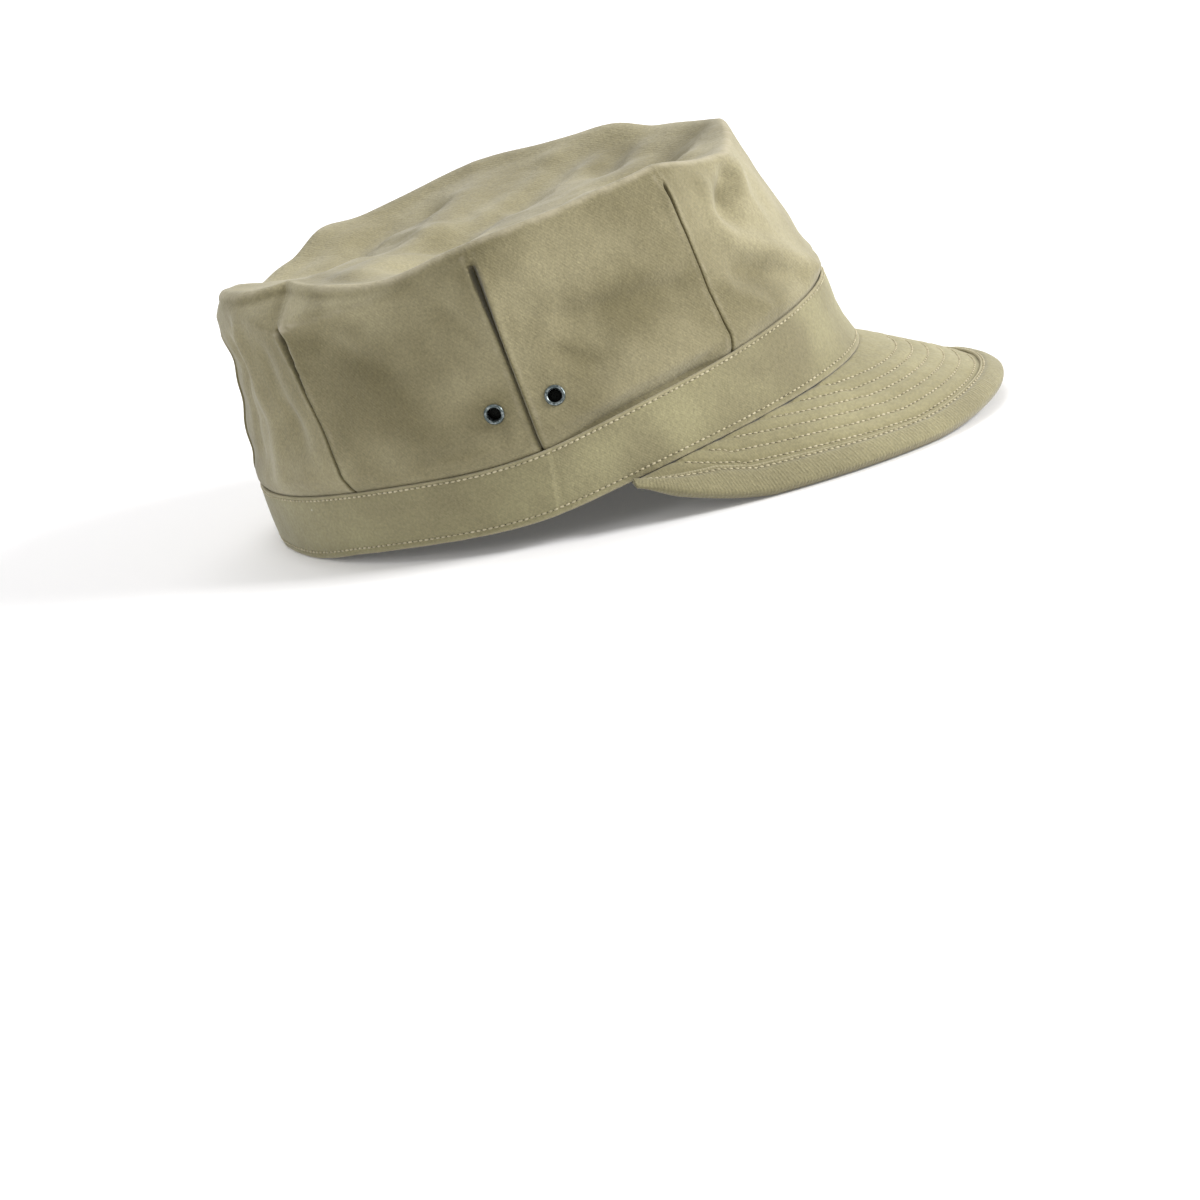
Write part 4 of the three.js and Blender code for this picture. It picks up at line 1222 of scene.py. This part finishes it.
@dataclass
class Brim:
    """The short stiff brim, quilted in rows that follow its edge, with a bound edge."""

    form: CapForm
    end: float = 79
    centre: float = 20.4
    front: float = 147.3
    half: float = 82
    thick: float = 2.6
    binding_cloth: float = 0.8
    margin: float = 1.6
    crown_up: float = 0.9
    rows: tuple[float, ...] = (2.0, 7.4, 13.0, 18.6, 24.2, 29.8)
    seam_back: float = 7.2
    seam_spread: float = 2.6
    end_taper: float = 0.07
    groove: float = 0.5
    groove_half: float = 0.95
    lip_shadow: float = 1.0
    columns: int = 330
    hang: tuple[tuple[float, float], ...] = (
        (20.4, 3.6), (36.6, 12.4), (49.9, 18.2), (62.1, 22.2), (75.8, 25.3), (90.1, 27.8), (110, 29.9),
        (130, 30.6), (147.3, 30.0),
    )
    end_lip: float = 0.6
    stitch_lip: float = 0.86
    roll: float = 0.8
    stitch_up: float = 0.45
    binding_stations: int = 460

    def edge_line(self, side: np.ndarray) -> np.ndarray:
        """The brim's lowest outer line, from -1 to 1 across the cap."""
        angle = np.radians(90 * side)
        forward = self.centre + (self.front - self.centre) * np.cos(angle)
        hang = np.array(self.hang)
        shifts = ((-7, 1), (-3.5, 2), (0, 3), (3.5, 2), (7, 1))
        down = sum(w * np.interp(forward + d, hang[:, 0], hang[:, 1]) for d, w in shifts) / 9
        p = np.stack([-self.half * np.sin(angle), -forward, -down], -1)
        p[:, 2] = np.maximum(p[:, 2], self.form.rest_height(p[:, 1]))
        return p

    def rays(self, side: np.ndarray) -> dict[str, np.ndarray]:
        """Straight lines over the brim from the band to the edge.

        Args:
            side: Places across the brim, from -1 to 1.

        Returns:
            The lines' roots, ends, ways, normals and lengths, and how far each root lies from the edge.
        """
        form = self.form
        cover = form.gap + self.binding_cloth
        away = form.outward(self.end * side)
        root = form.band_foot(self.end * side)
        root[:, 2] -= form.gap
        hem = self.edge_line(side)
        slant = unit(hem - root)
        edge = hem - slant * cover + square_to(slant, away) * (self.thick + cover)
        way = unit(edge - root)
        length = np.linalg.norm(edge - root, axis=-1)
        along = unit(np.gradient(edge, axis=0))
        lean = np.sqrt(np.maximum(1 - (way * along).sum(-1) ** 2, 0.05))
        return {
            "root": root, "edge": edge, "way": way, "normal": square_to(way, away), "length": length,
            "deep": length * lean, "lean": lean, "seam": self.seam(side),
            "body": 0.25 + 0.75 * ramp(1 - np.abs(side), 0, self.end_taper),
        }

    def seam(self, side: np.ndarray) -> np.ndarray:
        """How far from the edge the binding's inner seam lies."""
        away = np.abs(side)
        return self.seam_back + self.seam_spread * ramp(away, 0.4, 0.85) - ramp(away, 0.88, 1.0)

    def relief(self, beyond: np.ndarray, p: np.ndarray) -> np.ndarray:
        """How far the quilted cloth stands above the stiff plate, by distance beyond the binding's seam."""
        lift = 0.18 * drift(p, 4.5, 4.4) + 0.3 * drift(p, 14, 7.7)
        for row in self.rows:
            lift = lift - self.groove * bell(beyond, row, self.groove_half)
        return lift * ramp(beyond, -2.0, 0.5)

    def surface(self, side: np.ndarray, share: float, beyond: float, below: bool) -> tuple[np.ndarray, np.ndarray]:
        """Points and normals on the brim.

        Args:
            side: Places across the brim.
            share: Share of the way from the edge to the binding's seam.
            beyond: Distance beyond the seam, towards the band.
            below: The underside in place of the top.

        Returns:
            The points, and the normals out of that side.
        """
        ray = self.rays(side)
        seam = self.seam(side)
        back = np.minimum(seam * share + beyond, ray["deep"])
        p = ray["edge"] - ray["way"] * (back / ray["lean"])[:, None]
        bulge = self.crown_up * np.sin(math.pi * np.clip(back / np.maximum(ray["deep"], 1), 0, 1))
        bulge *= ramp(ray["deep"], 8, 30)
        quilt = self.relief(back - seam, p)
        lift = bulge - self.thick * ray["body"] - quilt if below else bulge + quilt
        return p + ray["normal"] * lift[:, None], ray["normal"] * (-1 if below else 1)

    def steps_back(self, count: int) -> list[tuple[float, float]]:
        """The grid's rows from the edge to the band, as share of the seam and distance beyond it."""
        side = np.linspace(-1, 1, 81)
        deepest = float((self.rays(side)["deep"] - self.seam(side)).max())
        marks = [0.0, *self.rows, deepest]
        rows = [(t, 0.0) for t in np.linspace(0, 1, 8)]
        for a, b in zip(marks, marks[1:]):
            parts = max(round((b - a) / deepest * count), 2)
            rows += [(1.0, float(d)) for d in np.linspace(a, b, parts + 1)[1:]]
        return rows

    def plate_grid(self) -> ClothGrid:
        """The brim's closed loop of rows: over the top, round the edge, below and round the root."""
        side = np.linspace(-1, 1, self.columns + 1)
        ray = self.rays(side)
        top = self.steps_back(72)[::-1]
        under = self.steps_back(56)
        margin = self.form.outward(self.end * side) * self.margin
        rows = [self.surface(side, *step, False)[0] for step in top]
        for down in (0.25, 0.5, 0.75):
            bow = 0.35 * math.sin(math.pi * down)
            rows.append(ray["edge"] + ray["way"] * bow - ray["normal"] * (self.thick * down * ray["body"])[:, None])
        rows += [self.surface(side, *step, True)[0] for step in under]
        rows += [rows[-1] - margin, rows[0] - margin, rows[0]]
        place = np.stack(rows)
        beyond = np.array([s[1] for s in top] + [-9.0] * 3 + [s[1] for s in under] + [60.0] * 3)
        wear = np.zeros(place.shape[:2])
        for row in self.rows:
            wear += 0.2 * bell(beyond, row + 2.6, 1.2)[:, None]
        stain_and_painted_light = np.zeros(place.shape[:2])
        # Painted shadow along the binding's seam, below its lip.
        stain_and_painted_light -= 2.5 * bell(beyond, 0, self.lip_shadow)[:, None]
        return ClothGrid(place, place[..., :2].copy(), wear, stain_and_painted_light)

    def binding_section(self) -> list[tuple[float, float, float, bool]]:
        """The binding's closed section: lip share, distance past the edge, height, and the outer face flag."""
        over = [(1.0, -0.12, 0.36), (1.0, -0.3, 0.8), (1.0, -0.14, 1.25), (0.98, 0.0, 1.5)]
        puff = np.linspace(0.95, 0.1, 19)
        over += [(t, 0.0, 1.3 + self.roll * math.sin(math.pi * (1 - t) ** 0.8)) for t in puff]
        over += [(0.0, 0.15, 1.2), (0, 0.7, 0.85), (0, 1.1, 0.25), (0, 1.3, -0.5), (0, 1.34, -1.3), (0, 1.25, -2.1)]
        over += [(0, 1.02, -2.85), (0, 0.6, -3.45), (0.0, 0.0, -3.75)]
        over += [(t, 0.0, -3.8) for t in np.linspace(0.1, 0.62, 8)]
        over += [(0.65, -0.14, -3.62), (0.65, -0.3, -3.35), (0.65, -0.12, -3.04)]
        inner = [(0.5, 0.0, -3.0), (0.2, 0.0, -3.0), (0, 0.2, -2.95), (0, 0.4, -2.1), (0, 0.4, -0.5), (0, 0.2, 0.3)]
        inner += [(0.2, 0.0, 0.35), (0.5, 0.0, 0.35), (0.8, 0.0, 0.35)]
        return [(*r, True) for r in over] + [(*r, False) for r in inner]

    def binding_point(self, ray: dict[str, np.ndarray], lip: float, past: float, up: float) -> np.ndarray:
        """The binding's points at one place of its section."""
        width = np.minimum(ray["seam"] / ray["lean"], ray["length"] * self.end_lip)
        rise = up * ray["body"] if up < 0 else np.full_like(width, up)
        p = ray["edge"] + ray["way"] * (past - lip * width)[:, None] + ray["normal"] * rise[:, None]
        p[:, 2] = np.maximum(p[:, 2], self.form.rest_height(p[:, 1]))
        return p

    def binding_lift(self, p: np.ndarray, lip: float) -> np.ndarray:
        """The dip along the binding's stitches and its small puckers."""
        near = abs(lip - self.stitch_lip) * self.seam_back
        return 0.1 * drift(p, 4.0, 9.3) + 0.15 * drift(p, 11, 3.9) - 0.55 * math.exp(-((near / 0.8) ** 2))

    def binding_grid(self) -> ClothGrid:
        """The strip folded over the brim's edge."""
        side = np.linspace(-1, 1, self.binding_stations + 1)
        ray = self.rays(side)
        rows = []
        for lip, past, up, outer in self.binding_section():
            p = self.binding_point(ray, lip, past, up)
            if outer and 0.05 < lip < 0.97:
                p = p + ray["normal"] * (np.sign(up) * self.binding_lift(p, lip))[:, None]
                p[:, 2] = np.maximum(p[:, 2], self.form.rest_height(p[:, 1]))
            rows.append(p)
        rows.append(rows[0])
        place = np.stack(rows)
        run = np.concatenate([[0], np.cumsum(np.linalg.norm(np.diff(ray["edge"], axis=0), axis=1))])
        steps = np.linalg.norm(np.diff(place, axis=0), axis=2).mean(1)
        up = np.concatenate([[0], np.cumsum(steps)])
        flat = np.stack(np.broadcast_arrays(run[None, :], up[:, None]), -1)
        section = self.binding_section()
        section.append(section[0])
        over = np.array([bell(lip, 1.0, 0.07) * (up > 0) for lip, _, up, _ in section])
        under = np.array([float(up < -0.4) for _, _, up, _ in section])
        wear = over[:, None] * np.full(len(side), 0.9)[None, :]
        # Painted shade in the dip along the binding's stitches, and over its underside.
        stitch_dip_shade = np.array([bell(lip, self.stitch_lip - 0.02, 0.05) * (up > 0) for lip, _, up, _ in section])
        stain_and_painted_light = (-2.0 * stitch_dip_shade - 1.6 * under)[:, None] * np.ones(len(side))[None, :]
        return ClothGrid(place, flat, wear, stain_and_painted_light)

    def make_plate(self, material: bpy.types.Material) -> bpy.types.Object:
        """Builds the quilted plate in place of its solid."""
        bm = self.plate_grid().mesh(self.form)
        bmesh.ops.holes_fill(bm, edges=[e for e in bm.edges if e.is_boundary], sides=0)
        bmesh.ops.recalc_face_normals(bm, faces=bm.faces)
        piece = finished("brim_quilted_plate", bm, material)
        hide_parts("brim")
        return piece

    def make_binding(self, material: bpy.types.Material) -> bpy.types.Object:
        """Builds the bound edge in place of its solid."""
        bm = self.binding_grid().mesh(self.form)
        bmesh.ops.holes_fill(bm, edges=[e for e in bm.edges if e.is_boundary], sides=0)
        bmesh.ops.recalc_face_normals(bm, faces=bm.faces)
        piece = finished("brim_edge_binding", bm, material)
        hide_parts("brim_binding")
        return piece

    def stitch(self, thread: bpy.types.Material, holes: bpy.types.Material) -> list[bpy.types.Object]:
        """Sews the quilting rows on both sides, and the binding.

        Args:
            thread: The thread's material.
            holes: The painted shade of the needle holes.

        Returns:
            The two pieces of stitches.
        """
        quilting = Stitching(seed=31)
        side = np.linspace(-1, 1, 1401)
        room = self.rays(side)["deep"] - self.seam(side)
        for row in self.rows:
            kept = side[room > row + 1.2]
            for below in (False, True):
                quilting.add(*self.surface(kept, 1.0, row, below))
        edging = Stitching(seed=41)
        kept = np.linspace(-0.985, 0.985, 1201)
        ray = self.rays(kept)
        over = self.binding_point(ray, self.stitch_lip, 0.0, 1.3 + self.stitch_up)
        edging.add(over + ray["normal"] * self.binding_lift(over, self.stitch_lip)[:, None], ray["normal"])
        under = self.binding_point(ray, 0.42, 0.0, -3.8)
        edging.add(under, -ray["normal"])
        return [
            quilting.make("brim_quilting_stitches", self.form, thread, holes),
            edging.make("brim_binding_stitches", self.form, thread, holes),
        ]


@dataclass
class Eyelet:
    """A rolled metal vent ring with its barrel through the cloth."""

    form: CapForm
    node: str
    place: np.ndarray
    normal: np.ndarray
    profile: tuple[tuple[float, float], ...] = (
        (2.3, -2.3), (2.25, -0.1), (2.32, 0.45), (2.55, 0.82), (2.9, 0.95), (3.25, 0.82), (3.5, 0.5),
        (3.55, 0.12), (3.35, 0.02), (2.67, 0.0), (2.65, -1.5), (3.2, -1.62), (3.35, -1.95), (3.1, -2.3),
        (2.7, -2.45),
    )
    steps: int = 40
    gauze_radius: float = 3.0
    gauze_depth: float = -2.7

    def make(self, material: bpy.types.Material, dark: bpy.types.Material) -> bpy.types.Object:
        """Spins the ring and backs it with gauze.

        Args:
            material: Its metal.
            dark: The gauze's finish.

        Returns:
            The eyelet in place of its solid.
        """
        bm = bmesh.new()
        corners = [bm.verts.new((r * MM, 0, h * MM)) for r, h in self.profile]
        edges = [bm.edges.new(pair) for pair in zip(corners, corners[1:] + corners[:1])]
        bmesh.ops.spin(
            bm, geom=corners + edges, cent=(0, 0, 0), axis=(0, 0, 1), angle=math.tau, steps=self.steps,
            use_merge=True,
        )
        bmesh.ops.remove_doubles(bm, verts=bm.verts, dist=WELD)
        bmesh.ops.recalc_face_normals(bm, faces=bm.faces)
        place = self.form.settle(self.place)
        up = Vector(unit(self.form.settle(self.place + self.normal) - place))
        turned = up.to_track_quat("Z", "Y").to_matrix().to_4x4()
        turned.translation = Vector(place)
        bmesh.ops.transform(bm, matrix=turned, verts=bm.verts)
        gauze = bmesh.new()
        sheet = Matrix.Translation((0, 0, self.gauze_depth * MM))
        bmesh.ops.create_circle(
            gauze, cap_ends=True, segments=24, radius=self.gauze_radius * MM, matrix=turned @ sheet
        )
        bmesh.ops.solidify(gauze, geom=gauze.faces[:], thickness=0.3 * MM)
        bmesh.ops.recalc_face_normals(gauze, faces=gauze.faces)
        backing = finished(self.node + "_gauze", gauze, dark)
        piece = finished(self.node + "_ring", bm, material)
        smooth = piece.modifiers.new("rounding", "SUBSURF")
        smooth.levels = smooth.render_levels = 1
        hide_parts(self.node)
        return piece


@dataclass
class Studio:
    """The pale floor, the soft lights and the camera."""

    floor_half: float = 9.0
    eye: tuple[float, float, float] = (-1.64548, -0.03714, 0.43655)
    forward: tuple[float, float, float] = (0.958949, 0.034325, -0.281494)
    right: tuple[float, float, float] = (-0.02309, -0.979901, -0.198146)
    lens: float = 147.186
    world: float = 0.38
    tint: tuple[float, float, float] = (1.0, 0.99, 0.985)

    def camera(self) -> None:
        """Places the camera at the photograph's angle."""
        data = bpy.data.cameras.new("camera")
        data.sensor_width = 36
        data.lens = self.lens
        data.clip_end = 60
        forward, right = Vector(self.forward).normalized(), Vector(self.right).normalized()
        up = right.cross(forward)
        matrix = Matrix((right, up, -forward)).transposed().to_4x4()
        matrix.translation = Vector(self.eye)
        camera = bpy.data.objects.new("camera", data)
        camera.matrix_world = matrix
        bpy.context.scene.collection.objects.link(camera)
        bpy.context.scene.camera = camera

    def floor(self) -> None:
        """Lays the floor."""
        bm = bmesh.new()
        bmesh.ops.create_grid(bm, x_segments=8, y_segments=8, size=self.floor_half)
        mesh = bpy.data.meshes.new("floor")
        bm.to_mesh(mesh)
        bm.free()
        material = bpy.data.materials.new("pale_floor")
        material.use_nodes = True
        shader = material.node_tree.nodes["Principled BSDF"]
        shader.inputs["Base Color"].default_value = (0.9, 0.9, 0.91, 1)
        shader.inputs["Roughness"].default_value = 0.9
        shader.inputs["Specular IOR Level"].default_value = 0.1
        shader.inputs["Emission Color"].default_value = (1, 1, 1, 1)
        shader.inputs["Emission Strength"].default_value = 0.08
        mesh.materials.append(material)
        floor = bpy.data.objects.new("floor", mesh)
        bpy.context.scene.collection.objects.link(floor)

    def light(
        self, name: str, place: tuple[float, float, float], size: float, power: float,
        target: tuple[float, float, float] = (0, 0, 0.05),
    ) -> None:
        """Hangs a square soft light that points at the cap, or at another target."""
        data = bpy.data.lights.new(name, "AREA")
        data.shape = "SQUARE"
        data.size = size
        data.energy = power
        data.color = self.tint
        lamp = bpy.data.objects.new(name, data)
        lamp.location = place
        lamp.rotation_euler = (Vector(target) - Vector(place)).to_track_quat("-Z", "Y").to_euler()
        bpy.context.scene.collection.objects.link(lamp)

    def make(self) -> None:
        """Builds the studio."""
        scene = bpy.context.scene
        scene.view_settings.view_transform = "Standard"
        scene.view_settings.look = "None"
        world = bpy.data.worlds.new("studio")
        world.use_nodes = True
        world.node_tree.nodes["Background"].inputs["Color"].default_value = (1.0, 0.995, 0.985, 1)
        world.node_tree.nodes["Background"].inputs["Strength"].default_value = self.world
        scene.world = world
        self.camera()
        self.floor()
        self.light("key", (-0.35, -2.3, 1.35), 0.9, 76)
        self.light("top", (-0.2, 0.5, 2.3), 1.4, 8)
        self.light("heel", (-1.5, 1.9, 1.2), 1.0, 10)
        self.light("sweep", (1.6, 0.3, 2.8), 2.4, 90, (3.4, 0.2, 0.0))


SAGE = TwillFinish(
    "crown_sage_twill", lit=(0.340, 0.304, 0.178), deep=(0.178, 0.154, 0.074), faded=(0.46, 0.41, 0.29),
    pitch=0.95, slant=38, weave=Weave.TWILL,
)
SAGE_BAND = TwillFinish(
    "band_sage_twill", lit=(0.325, 0.298, 0.162), deep=(0.215, 0.190, 0.102), faded=(0.42, 0.375, 0.24),
    pitch=0.8, slant=38, weave=Weave.PLAIN,
)
SAGE_BRIM = TwillFinish(
    "brim_sage_twill", lit=(0.345, 0.312, 0.17), deep=(0.255, 0.228, 0.12), faded=(0.43, 0.385, 0.24),
    pitch=0.8, slant=52, weave=Weave.PLAIN,
)
SAGE_BINDING = TwillFinish(
    "binding_sage_twill", lit=(0.320, 0.290, 0.158), deep=(0.225, 0.200, 0.108), faded=(0.42, 0.375, 0.235),
    pitch=1.15, slant=14, weave=Weave.STEEP,
)


def report(piece: bpy.types.Object) -> None:
    """Logs a finished piece with its number of faces."""
    log.info("%s: %d faces", piece.name, len(piece.data.polygons))


def main() -> None:
    """Builds the cap and its studio."""
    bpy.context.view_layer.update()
    Studio().make()
    form = CapForm()
    groups = {"twill_weave": twill_weave(), "cloth_tone": cloth_tone()}
    thread = ThreadFinish().make()
    # Painted shade for the needle holes: dark blobs set in the cloth.
    holes = ThreadFinish("needle_hole_shadow", (0.105, 0.093, 0.053), (0.06, 0.052, 0.03)).make()
    metal = MetalFinish().make()
    gauze = GauzeFinish().make()
    crown = Crown(form)
    report(crown.make(SAGE.make(groups)))
    for node, station, above in crown.vents:
        place, normal = crown.seat(station, above)
        report(Eyelet(form, node, place, normal).make(metal, gauze))
    band = Band(form)
    report(band.make(SAGE_BAND.make(groups)))
    report(band.stitch(thread, holes))
    brim = Brim(form)
    report(brim.make_plate(SAGE_BRIM.make(groups)))
    report(brim.make_binding(SAGE_BINDING.make(groups)))
    for piece in brim.stitch(thread, holes):
        report(piece)


if __name__ == "__main__":
    logging.basicConfig(level=logging.INFO, format="%(message)s")
    main()
